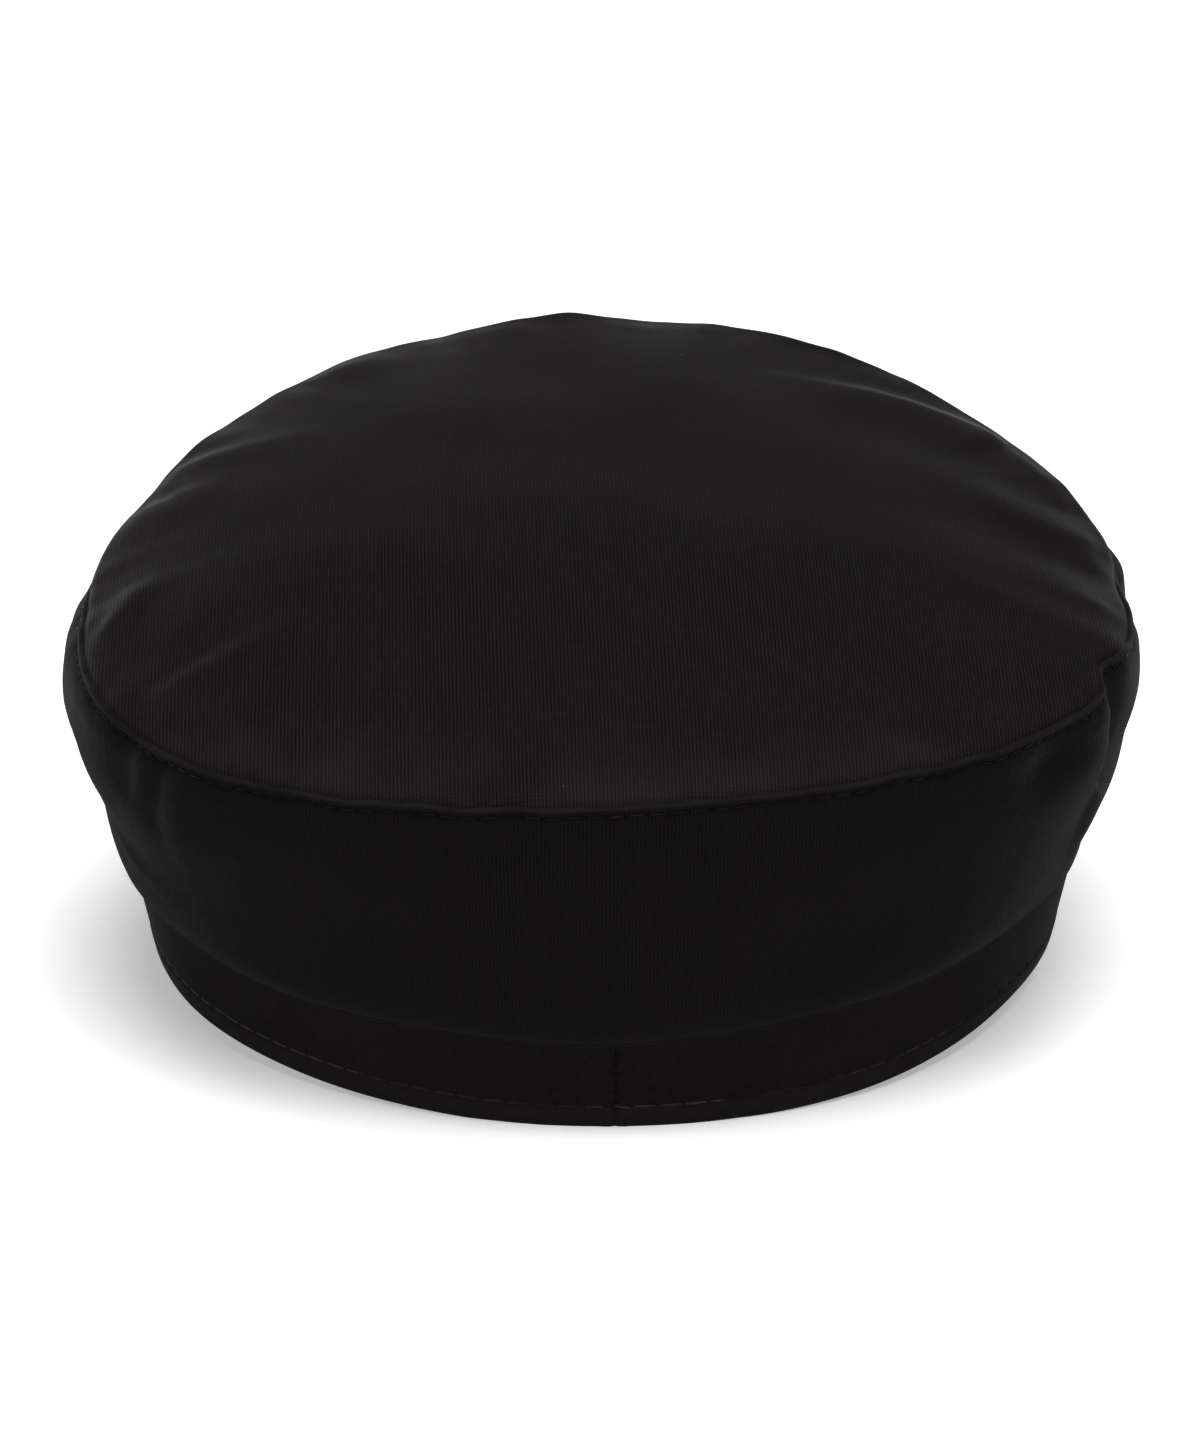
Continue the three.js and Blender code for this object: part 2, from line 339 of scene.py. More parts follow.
@dataclass(frozen=True, eq=False)
class CapForm:
    """The cap's main sizes, in millimetres and degrees, and the shape that they give."""

    band_half_width: float = 90.5
    band_half_length: float = 98.0
    band_height: float = 24.0
    band_flare: float = 3.0
    band_thickness: float = 2.4
    cloth: float = 1.4
    gap: float = 0.3
    seam_half_width: float = 104.5
    seam_back_reach: float = 110.0
    seam_front_reach: float = 112.0
    seam_back_squareness: float = 2.4
    seam_front_squareness: float = 2.0
    seam_back_height: float = 72.4
    seam_side_height: float = 69.0
    seam_front_height: float = 88.0
    seam_wobble: Ripple = Ripple(height=0.5, size=8.0)
    ridge_end: float = 88.0
    ridge_fade: float = 16.0
    wall_lap: float = 4.5
    wall_back_roll: float = 2.8
    wall_side_roll: float = 0.6
    wall_roll_place: float = 0.14
    wall_bulge: float = 4.6
    wall_back_bulge: float = 1.8
    top_centre_height: float = 92.0
    top_rounding: float = 2.4
    pull_fade: float = 7.0
    lip_drop: float = 0.8
    lip_far_drop: float = 1.9
    rest_tilt: float = 5.0
    rest_sink: float = 0.6
    foot_rises: tuple[FootRise, ...] = (
        FootRise(angle=-42, spread=14, up=-1.4),
        FootRise(angle=-4, spread=10, up=-0.5),
        FootRise(angle=22, spread=16, up=1.4),
        FootRise(angle=52, spread=20, up=2.2),
    )
    band_pushes: tuple[BandPush, ...] = (
        BandPush(angle=-86, spread=24, low=0.6, high=3.0),
        BandPush(angle=-60, spread=14, low=0.8, high=0.4),
        BandPush(angle=88, spread=20, low=0.6, high=2.7),
        BandPush(angle=57, spread=21, low=-2.1, high=-1.1),
    )
    seam_pulls: tuple[SeamPull, ...] = (
        SeamPull(angle=-50, spread=22, inward=0, down=1.2),
        SeamPull(angle=25, spread=20, inward=0, down=-1.9),
        SeamPull(angle=55, spread=30, inward=0, down=-2.8),
        SeamPull(angle=62, spread=5.5, inward=1.6, down=0),
        SeamPull(angle=63, spread=2.2, inward=1.2, down=0),
        SeamPull(angle=66, spread=6, inward=0, down=-1.7),
        SeamPull(angle=93, spread=6, inward=0.8, down=0.4),
        SeamPull(angle=116, spread=9, inward=0, down=-1.5),
        SeamPull(angle=142, spread=22, inward=0, down=-1.2),
        SeamPull(angle=155, spread=7, inward=0, down=-0.6),
        SeamPull(angle=173, spread=5, inward=0, down=1),
        SeamPull(angle=-176, spread=7, inward=0, down=-0.9),
        SeamPull(angle=-164, spread=6, inward=0, down=0.8),
        SeamPull(angle=-100, spread=26, inward=1.8, down=0.4),
        SeamPull(angle=-118, spread=7, inward=0.8, down=0.6),
        SeamPull(angle=-139, spread=7, inward=0.6, down=0.3),
    )
    top_folds: tuple[TopFold, ...] = (
        TopFold(start=(-74.5, 1.02), bend=(-81, 0.908), end=(-94, 0.872), left=5, right=5, height=1.8),
        TopFold(start=(-57, 1.0), bend=(-53.5, 0.865), end=(-53, 0.6), left=7, right=8, height=2.4),
        TopFold(start=(-111, 0.985), bend=(-111, 0.88), end=(-120, 0.74), left=5, right=12, height=0.9),
        TopFold(start=(-118, 0.985), bend=(-124, 0.86), end=(-131, 0.66), left=5, right=14, height=1.1),
        TopFold(start=(-145, 0.98), bend=(-150, 0.94), end=(-159, 0.84), left=9, right=9, height=0.5),
        TopFold(start=(123, 0.965), bend=(138, 0.845), end=(160, 0.69), left=16, right=4, height=1.2),
        TopFold(start=(108, 1.02), bend=(122, 0.94), end=(140, 0.88), left=10, right=7, height=0.8),
        TopFold(start=(93.3, 1.03), bend=(101, 0.848), end=(122, 0.625), left=9, right=11, height=1.4),
        TopFold(start=(73, 1.03), bend=(79, 0.91), end=(89, 0.79), left=9, right=7, height=1.0),
    )
    wall_folds: tuple[WallFold, ...] = (
        WallFold(low_angle=73.5, high_angle=61, low=0.3, high=1.1, minus=1.6, plus=13, out=-1.7, bow=3),
        WallFold(low_angle=70.8, high_angle=58.2, low=0.3, high=1.04, minus=5, plus=1.6, out=0.8, bow=3),
        WallFold(low_angle=-50, high_angle=-44, low=0.42, high=1.04, minus=2, plus=4, out=0.6),
        WallFold(low_angle=-53.5, high_angle=-48.3, low=0.55, high=1.04, minus=1.8, plus=1.8, out=-1.0),
        WallFold(low_angle=-57.5, high_angle=-54.5, low=0.66, high=1.04, minus=4, plus=2.2, out=-1.2),
        WallFold(low_angle=-86, high_angle=-83, low=0.3, high=0.75, minus=8, plus=8, out=-1.8),
        WallFold(low_angle=-58, high_angle=-80, low=0.16, high=0.5, minus=7, plus=5, out=0.5),
        WallFold(low_angle=92, high_angle=94, low=0.55, high=1.02, minus=6, plus=6, out=-2),
        WallFold(low_angle=84, high_angle=84, low=0.4, high=1.1, minus=16, plus=16, out=-0.8),
        WallFold(low_angle=104, high_angle=104, low=0.5, high=1.02, minus=6, plus=8, out=2.6),
        WallFold(low_angle=-84, high_angle=-84, low=0.3, high=1.05, minus=24, plus=24, out=1.2),
        WallFold(low_angle=-84, high_angle=-84, low=-0.3, high=0.38, minus=26, plus=26, out=0.6),
        WallFold(low_angle=-118, high_angle=-118, low=0.4, high=1.02, minus=8, plus=8, out=-1.6),
    )
    wall_dents: tuple[WallDent, ...] = (
        WallDent(angle=46.5, share=0.87, wide=4.2, tall=0.12, out=-2.5),
        WallDent(angle=84, share=0.36, wide=14, tall=0.14, out=0.9),
        WallDent(angle=66, share=0.3, wide=5, tall=0.14, out=1.2),
        WallDent(angle=79, share=0.12, wide=8, tall=0.13, out=-1.4),
        WallDent(angle=-79, share=0.38, wide=12, tall=0.14, out=-0.9),
        WallDent(angle=31, share=0.55, wide=10, tall=0.25, out=-0.5),
        WallDent(angle=-30, share=0.62, wide=9, tall=0.2, out=-0.5),
        WallDent(angle=4, share=0.45, wide=12, tall=0.2, out=0.4),
    )

    @lru_cache(maxsize=None)
    def band_edge(self, angle: float) -> float:
        """Distance from the middle to the outside of the band's lower edge."""
        reach = (self.band_half_length, self.band_half_length)
        return oval(angle, self.band_half_width, reach, ELLIPSE)

    @lru_cache(maxsize=None)
    def band_bend(self, angle: float) -> tuple[float, float]:
        """How far the band is bent outwards at its lower and upper edge.

        Args:
            angle: where round the cap.

        Returns:
            The two distances in millimetres.
        """
        low = sum(row.low * row.weight(angle) for row in self.band_pushes)
        high = sum(row.high * row.weight(angle) for row in self.band_pushes)
        return low, high

    def band_radius(self, angle: float, height: float) -> float:
        """Distance from the middle to the outside of the band.

        Args:
            angle: where round the cap.
            height: above the band's lower edge.

        Returns:
            The distance in millimetres.
        """
        low, high = self.band_bend(angle)
        share = height / self.band_height
        return self.band_edge(angle) + self.band_flare * share + mix(low, high, share)

    @lru_cache(maxsize=None)
    def cut_radius(self, angle: float) -> float:
        """Distance from the middle to the crown's seam as it is cut.

        Args:
            angle: where round the cap.

        Returns:
            The distance in millimetres.
        """
        reach = (self.seam_back_reach, self.seam_front_reach)
        powers = (self.seam_back_squareness, self.seam_front_squareness)
        return oval(angle, self.seam_half_width, reach, powers)

    @lru_cache(maxsize=None)
    def cut_height(self, angle: float) -> float:
        """Height of the crown's seam as it is cut.

        Args:
            angle: where round the cap.

        Returns:
            The height in the level frame.
        """
        along = math.cos(math.radians(angle))
        end = self.seam_back_height if along >= 0 else self.seam_front_height
        return mix(self.seam_side_height, end, along**2)

    @lru_cache(maxsize=None)
    def pull(self, angle: float) -> tuple[float, float]:
        """How far the seam is drawn away from its cut.

        Args:
            angle: where round the cap.

        Returns:
            The distances inwards and down, in millimetres.
        """
        inward = sum(row.inward * row.weight(angle) for row in self.seam_pulls)
        down = sum(row.down * row.weight(angle) for row in self.seam_pulls)
        return inward, down + self.seam_wobble.at(polar(angle, self.cut_radius(angle), 0.0))

    @lru_cache(maxsize=None)
    def seam(self, angle: float) -> tuple[float, float]:
        """Distance from the middle and height of the seam as it lies."""
        inward, down = self.pull(angle)
        return self.cut_radius(angle) - inward, self.cut_height(angle) - down

    @lru_cache(maxsize=None)
    def shows_seam(self, angle: float) -> float:
        """1 round the back, where the seam's ridge shows, and 0 where the top curls over it."""
        return 1 - smooth((abs(angle_between(angle, 0.0)) - self.ridge_end) / self.ridge_fade)

    def lip_height(self, angle: float) -> float:
        """Height of the top of the wall's sewn edge."""
        drop = mix(self.lip_far_drop, self.lip_drop, self.shows_seam(angle))
        return self.seam(angle)[1] - drop

    def table_height(self, y: float) -> float:
        """Height of the table in the level frame, at a place from front to back."""
        return self.rest_sink - (self.band_half_length - y) * math.tan(math.radians(self.rest_tilt))

    @lru_cache(maxsize=None)
    def creases(self) -> tuple[Crease, ...]:
        """Lays out each fold of the crown top.

        Returns:
            The creases, in the order of the folds.
        """
        laid = []
        for fold in self.top_folds:
            places = (fold.start, fold.bend, fold.end)
            points = [polar(angle, ratio * self.cut_radius(angle), 0.0) for angle, ratio in places]
            laid.append(Crease.laid(fold, *points))
        return tuple(laid)

    def crease_lift(self, place: Vector) -> float:
        """How far the creases lift the crown top at a point seen from above, with z at 0."""
        return sum(crease.lift(place) for crease in self.creases())

    def wall_fold(self, angle: float, share: float) -> float:
        """How far folds and dents push the crown wall outwards, at an angle and a share of its height."""
        return sum(row.push(angle, share) for row in (*self.wall_folds, *self.wall_dents))

    @lru_cache(maxsize=None)
    def edge_fold(self, angle: float) -> float:
        """How far the folds push the wall's sewn edge outwards, and the top's edge with it."""
        return self.wall_fold(angle, 1.0)

    @lru_cache(maxsize=None)
    def foot_height(self, angle: float) -> float:
        """Height of the lower edge of the crown wall."""
        rise = sum(row.up * row.weight(angle) for row in self.foot_rises)
        return self.band_height - self.wall_lap + rise

    def wall_radius(self, angle: float, share: float) -> float:
        """Distance from the middle to the outside of the crown wall, without its seam's detail.

        Args:
            angle: where round the cap.
            share: where on the wall's height, from 0 at the foot to 1 at the seam.

        Returns:
            The distance in millimetres.
        """
        along = math.cos(math.radians(angle))
        foot = self.band_radius(angle, self.foot_height(angle)) + self.gap + self.cloth
        up_roll = share / self.wall_roll_place
        roll = mix(self.wall_side_roll, self.wall_back_roll, along**2) * up_roll * math.exp(1 - up_roll)
        fullness = mix(self.wall_bulge, self.wall_back_bulge, max(0.0, along) ** 2)
        bulge = fullness * math.sin(math.pi * share**2)
        return mix(foot, self.seam(angle)[0], share) + roll + bulge + self.wall_fold(angle, share)


@dataclass(frozen=True)
class Seat:
    """How the cap stands on the table: its level millimetres in the row frame's metres."""

    turn: Matrix
    shift: Vector

    @classmethod
    def from_frame(cls, form: CapForm) -> "Seat":
        """Reads the cap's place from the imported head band.

        Args:
            form: the cap's sizes.

        Returns:
            The seat that lays the level frame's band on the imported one.
        """
        turn = Matrix.Rotation(-math.radians(form.rest_tilt), 3, "X")
        reach = form.band_half_length + form.band_flare
        back = turn @ Vector((0.0, reach, form.band_height)) * MM
        front = turn @ Vector((0.0, -reach, form.band_height)) * MM
        low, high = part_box("head_band")
        return cls(turn, Vector(((low.x + high.x) / 2, high.y - back.y, high.z - front.z)))

    def place(self, point: Vector) -> Vector:
        """A point of the level frame, in millimetres, as a point of the row frame in metres."""
        return self.turn @ point * MM + self.shift

    def stand(self, axes: Matrix, point: Vector) -> Matrix:
        """The row frame's transform of a thing with these axes, columns, at a point of the level frame."""
        turned = (self.turn @ axes).to_4x4()
        turned.translation = self.place(point)
        return turned


class ArcLength:
    """Distances along the cloth round the cap, so that ribs and stitches are evenly spaced."""

    STEPS = 720

    def __init__(self, radius: Callable[[float], float]) -> None:
        """Measures round the cap from the middle of its front.

        Args:
            radius: the distance from the middle at an angle.
        """
        self.marks = [0.0]
        points = [polar(angle, radius(angle), 0.0) for angle in self.angles()]
        for before, after in zip(points, points[1:]):
            self.marks.append(self.marks[-1] + (after - before).length)

    def angles(self) -> list[float]:
        """The angles that are measured."""
        return [self.step_angle(step) for step in range(self.STEPS + 1)]

    def step_angle(self, step: float) -> float:
        """The angle of a step, counted from the middle of the front."""
        return -180.0 + 360.0 * step / self.STEPS

    @property
    def total(self) -> float:
        """The whole way round, in millimetres."""
        return self.marks[-1]

    def at(self, angle: float) -> float:
        """The distance along the cloth.

        Args:
            angle: where round the cap, from -180 to 180.

        Returns:
            The distance from the middle of the front, in millimetres.
        """
        step = (angle + 180.0) / 360.0 * self.STEPS
        low = min(int(step), self.STEPS - 1)
        return mix(self.marks[low], self.marks[low + 1], step - low)

    def angle_at(self, distance: float) -> float:
        """Finds the angle at a distance along the cloth.

        Args:
            distance: from the middle of the front, in millimetres.

        Returns:
            The angle from -180 to 180.
        """
        low = 0
        high = self.STEPS
        while high - low > 1:
            middle = (low + high) // 2
            if self.marks[middle] <= distance:
                low = middle
            else:
                high = middle
        share = (distance - self.marks[low]) / (self.marks[high] - self.marks[low])
        return self.step_angle(low + share)


class Graph:
    """A new material, and short ways to add its nodes."""

    def __init__(self, name: str) -> None:
        """Starts the material with its own shader.

        Args:
            name: the material's name.
        """
        self.material = bpy.data.materials.new(name)
        self.material.use_nodes = True
        self.nodes = self.material.node_tree.nodes
        self.links = self.material.node_tree.links
        self.shader = self.nodes["Principled BSDF"]

    def put(self, socket: Socket, value: object) -> None:
        """Sets an input.

        Args:
            socket: the input.
            value: a number or colour that it is set to, or an output that is linked to it.
        """
        if isinstance(value, Socket):
            self.links.new(value, socket)
        else:
            socket.default_value = value

    def fill(self, node: bpy.types.Node, values: dict[str, object]) -> None:
        """Sets a node's inputs by their names."""
        for name, value in values.items():
            self.put(node.inputs[name], value)

    def math(self, operation: str, *values: object, clamp: bool = False) -> Socket:
        """Adds a Math node.

        Args:
            operation: the node's operation.
            values: its numbers or outputs, in order.
            clamp: keeps the result from 0 to 1.

        Returns:
            The node's output.
        """
        node = self.nodes.new("ShaderNodeMath")
        node.operation = operation
        node.use_clamp = clamp
        for socket, value in zip(node.inputs, values):
            self.put(socket, value)
        return node.outputs[0]

    def noise(self, vector: Socket, scale: float, detail: float) -> Socket:
        """Adds a Noise texture.

        Args:
            vector: the coordinates' output.
            scale: waves for each metre.
            detail: octaves.

        Returns:
            The output of its even grey.
        """
        node = self.nodes.new("ShaderNodeTexNoise")
        self.fill(node, {"Vector": vector, "Scale": scale, "Detail": detail})
        return node.outputs["Fac"]

    def ripple(self, vector: Socket, scale: float, detail: float) -> Socket:
        """Adds a Noise texture that goes up and down about 0."""
        return self.math("SUBTRACT", self.noise(vector, scale, detail), 0.5)

    def split(self, vector: Socket) -> tuple[Socket, Socket]:
        """Takes a vector or a colour apart.

        Args:
            vector: its output.

        Returns:
            The outputs of its x and y.
        """
        node = self.nodes.new("ShaderNodeSeparateXYZ")
        self.put(node.inputs[0], vector)
        return node.outputs["X"], node.outputs["Y"]

    def mix_colour(self, share: object, first: object, second: object) -> Socket:
        """Adds a colour Mix node.

        Args:
            share: how much of the second colour, a number or an output.
            first: a colour or an output.
            second: a colour or an output.

        Returns:
            The mixed colour's output.
        """
        node = self.nodes.new("ShaderNodeMix")
        node.data_type = "RGBA"
        self.fill(node, {"Factor": share, "A": first, "B": second})
        return node.outputs["Result"]


@dataclass(frozen=True)
class ClothFinish:
    """Black cloth with fine ribs along its warp, a faint sheen and a few specks of lint.

    Pitches, wander and relief are in metres, and waves are counted for each metre of cloth.
    """

    name: str
    dark: Colour = (0.0046, 0.0040, 0.0042, 1.0)
    light: Colour = (0.0190, 0.0166, 0.0174, 1.0)
    contrast: float = 0.55
    unevenness: float = 0.3
    fade_waves: float = 34.0
    mottle_waves: float = 620.0
    rib_pitch: float = 0.7 * MM
    ribs: float = 0.2
    rib_share: float = 1.0
    rib_growth: float = 0.0
    rib_breaks: float = 2.4
    wander: float = 0.26 * MM
    wander_waves: float = 420.0
    patch_waves: float = 55.0
    patch_spread: float = 1.6
    patch_least: float = 0.2
    weft_pitch: float = 0.75 * MM
    weft: float = 0.14
    fuzz: float = 0.85
    fuzz_waves: float = 2600.0
    relief: float = 0.10 * MM
    relief_strength: float = 0.7
    roughness: float = 0.82
    roughness_spread: float = 0.12
    specular: float = 0.008
    sheen: float = 0.02
    sheen_roughness: float = 0.25
    sheen_tint: Colour = (1.0, 0.96, 0.97, 1.0)
    lint: Colour = (0.12, 0.116, 0.112, 1.0)
    lint_cells: float = 105.0
    lint_size: float = 0.018
    lint_share: float = 0.17
    lint_in_wear_and_light: float = 0.9

    def make(self) -> bpy.types.Material:
        """Builds the material's nodes.

        Returns:
            The material.
        """
        graph = Graph(self.name)
        cloth = graph.nodes.new("ShaderNodeUVMap")
        cloth.uv_map = "cloth"
        where = cloth.outputs["UV"]
        attribute = graph.nodes.new("ShaderNodeAttribute")
        attribute.attribute_name = "wear_and_painted_light"
        wear_and_painted_light = attribute.outputs["Fac"]
        mottle = graph.ripple(where, self.mottle_waves, detail=2.0)
        fuzz = graph.ripple(where, self.fuzz_waves, detail=3.0)
        height = graph.math("MULTIPLY_ADD", fuzz, self.fuzz, self.weave(graph, where, mottle))
        fade = graph.math("ADD", graph.ripple(where, self.fade_waves, detail=3.0), mottle)
        uneven = graph.math("MULTIPLY", fade, self.unevenness)
        tone = graph.math("MULTIPLY_ADD", height, self.contrast, uneven)
        # The wear attribute lightens the tone: partly real wear, partly painted light along the top's seam, a
        # painted highlight on the wall's ridge and painted floor light on the hem.
        colour = graph.mix_colour(graph.math("ADD", tone, wear_and_painted_light, clamp=True), self.dark, self.light)
        bump = graph.nodes.new("ShaderNodeBump")
        graph.fill(bump, {"Height": height, "Distance": self.relief, "Strength": self.relief_strength})
        graph.fill(
            graph.shader,
            {
                "Base Color": graph.mix_colour(self.specks(graph, where, wear_and_painted_light), colour, self.lint),
                "Normal": bump.outputs["Normal"],
                "Roughness": graph.math("MULTIPLY_ADD", fuzz, self.roughness_spread, self.roughness),
                "Specular IOR Level": self.specular,
                "Sheen Weight": self.sheen,
                "Sheen Roughness": self.sheen_roughness,
                "Sheen Tint": self.sheen_tint,
            },
        )
        return graph.material

    def weave(self, graph: Graph, where: Socket, mottle: Socket) -> Socket:
        """Draws the ribs, which come and go in patches, and the weft across them.

        Args:
            graph: the material's nodes.
            where: the cloth's coordinates.
            mottle: what breaks up the ribs.

        Returns:
            The output of the threads' height, about 0.5.
        """
        x, y = graph.split(where)
        wander = graph.ripple(where, self.wander_waves, detail=2.0)
        across = graph.math("MULTIPLY_ADD", wander, self.wander, x)
        rib = graph.math("SINE", graph.math("MULTIPLY", across, math.tau / self.rib_pitch))
        weft = graph.math("SINE", graph.math("MULTIPLY", y, math.tau / self.weft_pitch))
        spots = graph.noise(where, self.patch_waves, detail=2.0)
        patches = graph.math("MULTIPLY_ADD", spots, self.patch_spread, self.patch_least)
        shows = graph.math("MULTIPLY_ADD", y, self.rib_growth, self.rib_share, clamp=True)
        broken = graph.math("MULTIPLY_ADD", mottle, self.rib_breaks, 1.0)
        depth = graph.math("MULTIPLY", graph.math("MULTIPLY", patches, shows), broken)
        threads = graph.math("MULTIPLY_ADD", rib, graph.math("MULTIPLY", depth, self.ribs), 0.5)
        return graph.math("MULTIPLY_ADD", weft, self.weft, threads)

    def specks(self, graph: Graph, where: Socket, wear_and_painted_light: Socket) -> Socket:
        """Scatters a few specks of lint, more of them where the wear and painted light attribute is high.

        Args:
            graph: the material's nodes.
            where: the cloth's coordinates.
            wear_and_painted_light: how worn the cloth is, and how much light is painted onto it.

        Returns:
            An output that is 1 on a speck and 0 elsewhere.
        """
        cells = graph.nodes.new("ShaderNodeTexVoronoi")
        graph.fill(cells, {"Vector": where, "Scale": self.lint_cells})
        near = graph.math("LESS_THAN", cells.outputs["Distance"], self.lint_size)
        draw = graph.split(cells.outputs["Color"])[0]
        share = graph.math("MULTIPLY_ADD", wear_and_painted_light, self.lint_in_wear_and_light, self.lint_share)
        return graph.math("MULTIPLY", near, graph.math("LESS_THAN", draw, share))


@dataclass(frozen=True)
class ThreadFinish:
    """Black sewing thread, twisted and a little shinier than the cloth, rubbed lighter in patches, and
    painted lighter towards +X by its lean, which is painted side light.
    """

    name: str
    dark: Colour = (0.006, 0.0053, 0.0055, 1.0)
    light: Colour = (0.020, 0.0175, 0.0183, 1.0)
    twist_waves: float = 3800.0
    patch_waves: float = 90.0
    patch_spread: float = 3.0
    patch_least: float = -1.0
    side_light_lean: float = 0.0
    roughness: float = 0.6
    specular: float = 0.03

    def make(self) -> bpy.types.Material:
        """Builds the material's nodes.

        Returns:
            The material.
        """
        graph = Graph(self.name)
        place = graph.nodes.new("ShaderNodeTexCoord").outputs["Object"]
        twist = graph.noise(place, self.twist_waves, detail=2.0)
        spots = graph.noise(place, self.patch_waves, detail=1.0)
        patches = graph.math("MULTIPLY_ADD", spots, self.patch_spread, self.patch_least)
        x = graph.split(place)[0]
        # The lean paints light on one side: lighter towards +X, where the stronger side lamp stands.
        rubbed_and_side_lit = graph.math("MULTIPLY_ADD", x, self.side_light_lean, patches, clamp=True)
        tone = graph.math("MULTIPLY", twist, rubbed_and_side_lit)
        graph.fill(
            graph.shader,
            {
                "Base Color": graph.mix_colour(tone, self.dark, self.light),
                "Roughness": self.roughness,
                "Specular IOR Level": self.specular,
            },
        )
        return graph.material


@dataclass(frozen=True)
class FloorFinish:
    """A plain pale floor, lit a little from within like a light table."""

    name: str = "pale_floor"
    colour: Colour = (0.9, 0.9, 0.9, 1.0)
    glow: float = 0.42
    roughness: float = 0.9
    specular: float = 0.0

    def make(self) -> bpy.types.Material:
        """Builds the material.

        Returns:
            The material.
        """
        graph = Graph(self.name)
        graph.fill(
            graph.shader,
            {
                "Base Color": self.colour,
                "Roughness": self.roughness,
                "Specular IOR Level": self.specular,
                "Emission Color": self.colour,
                "Emission Strength": self.glow,
            },
        )
        return graph.material


def link_mesh(name: str, shape: bmesh.types.BMesh) -> bpy.types.Object:
    """Turns a finished bmesh into an object of the scene.

    Args:
        name: the object's name.
        shape: the bmesh, which is freed.

    Returns:
        The object, at the origin.
    """
    mesh = bpy.data.meshes.new(name)
    shape.to_mesh(mesh)
    shape.free()
    thing = bpy.data.objects.new(name, mesh)
    bpy.context.scene.collection.objects.link(thing)
    return thing


def dress(piece: bpy.types.Object, material: bpy.types.Material, slot: Slot, *nodes: str) -> None:
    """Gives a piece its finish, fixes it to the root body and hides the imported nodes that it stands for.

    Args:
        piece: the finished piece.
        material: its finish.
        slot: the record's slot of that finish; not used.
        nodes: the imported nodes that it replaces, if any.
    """
    piece.data.materials.append(material)
    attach(piece, "root")
    if nodes:
        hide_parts(*nodes)


@dataclass(frozen=True)
class Stretch:
    """One stretch of a piece's section: how many rows of mesh it has, and its points.

    A point is given by its place round or across the piece and its share of the way along the stretch.
    """

    rows: int
    point: Callable[[float, float], Vector]


def section_point(stretches: tuple[Stretch, ...], place: float, row: int) -> Vector:
    """The point of a section on one row.

    Args:
        stretches: the section.
        place: where round or across the piece.
        row: the row's number, counted through all the stretches.

    Returns:
        The point in the level frame.
    """
    left = row
    for stretch in stretches:
        if left <= stretch.rows:
            return stretch.point(place, left / stretch.rows)
        left -= stretch.rows
    raise ValueError(f"the section has no row {row}")


@dataclass
class ClothPiece(ABC):
    """A piece of cloth swept round or across the cap through a section made of stretches.

    The mesh starts as one flat grid. Its columns go round the cap, closer together at the back, and its rows
    along the section. Each corner is moved to its place before the edges that meet are welded.
    """

    NODE: ClassVar[str]
    SLOT: ClassVar[Slot]

    form: CapForm
    columns: int = 760
    crowding: float = 0.45

    @abstractmethod
    def stretches(self) -> tuple[Stretch, ...]:
        """The stretches of the section, in order."""

    def column_place(self, column: float) -> float:
        """The angle of a column, given as a share of the way round from the front."""
        turn = (2 * column - 1) * math.pi
        return math.degrees(turn - self.crowding * math.sin(turn))

    def cloth_place(self, place: float, point: Vector) -> tuple[float, float]:
        """Where a point lies on the flat cloth, in metres: as seen from above."""
        return point.x * MM, point.y * MM

    def wear_and_painted_light(self, place: float, point: Vector) -> float:
        """How worn the cloth is at a point, and how much light is painted onto it: neither."""
        return 0.0

    def declare(self, piece: bpy.types.Object) -> None:
        """Does nothing for this piece."""

    def mesh(self, seat: Seat) -> bpy.types.Object:
        """Makes the piece's mesh and object.

        Args:
            seat: where the cap stands.

        Returns:
            The object, linked to the scene, with its cloth's own UV map in metres and an attribute of its
            wear and painted light.
        """
        stretches = self.stretches()
        rows = sum(stretch.rows for stretch in stretches)
        shape = bmesh.new()
        bmesh.ops.create_grid(shape, x_segments=self.columns, y_segments=rows, size=0.5)
        half = max(vert.co.x for vert in shape.verts)
        cloth_at = {}
        wear_and_painted_light = shape.verts.layers.float.new("wear_and_painted_light")
        for vert in shape.verts:
            place = self.column_place((vert.co.x / half + 1) / 2)
            point = section_point(stretches, place, round((vert.co.y / half + 1) / 2 * rows))
            cloth_at[vert.index] = self.cloth_place(place, point)
            vert[wear_and_painted_light] = self.wear_and_painted_light(place, point)
            vert.co = seat.place(point)
        cloth = shape.loops.layers.uv.new("cloth")
        for face in shape.faces:
            face.smooth = True
            for loop in face.loops:
                loop[cloth].uv = cloth_at[loop.vert.index]
        bmesh.ops.remove_doubles(shape, verts=shape.verts, dist=WELD_DISTANCE)
        bmesh.ops.dissolve_degenerate(shape, edges=shape.edges, dist=SLIVER_LENGTH)
        bmesh.ops.recalc_face_normals(shape, faces=shape.faces)
        return link_mesh(f"{self.NODE}_cloth", shape)

    def build(self, seat: Seat, material: bpy.types.Material) -> bpy.types.Object:
        """Makes and dresses the piece.

        Args:
            seat: where the cap stands.
            material: its cloth.

        Returns:
            The piece.
        """
        piece = self.mesh(seat)
        dress(piece, material, self.SLOT, self.NODE)
        self.declare(piece)
        return piece


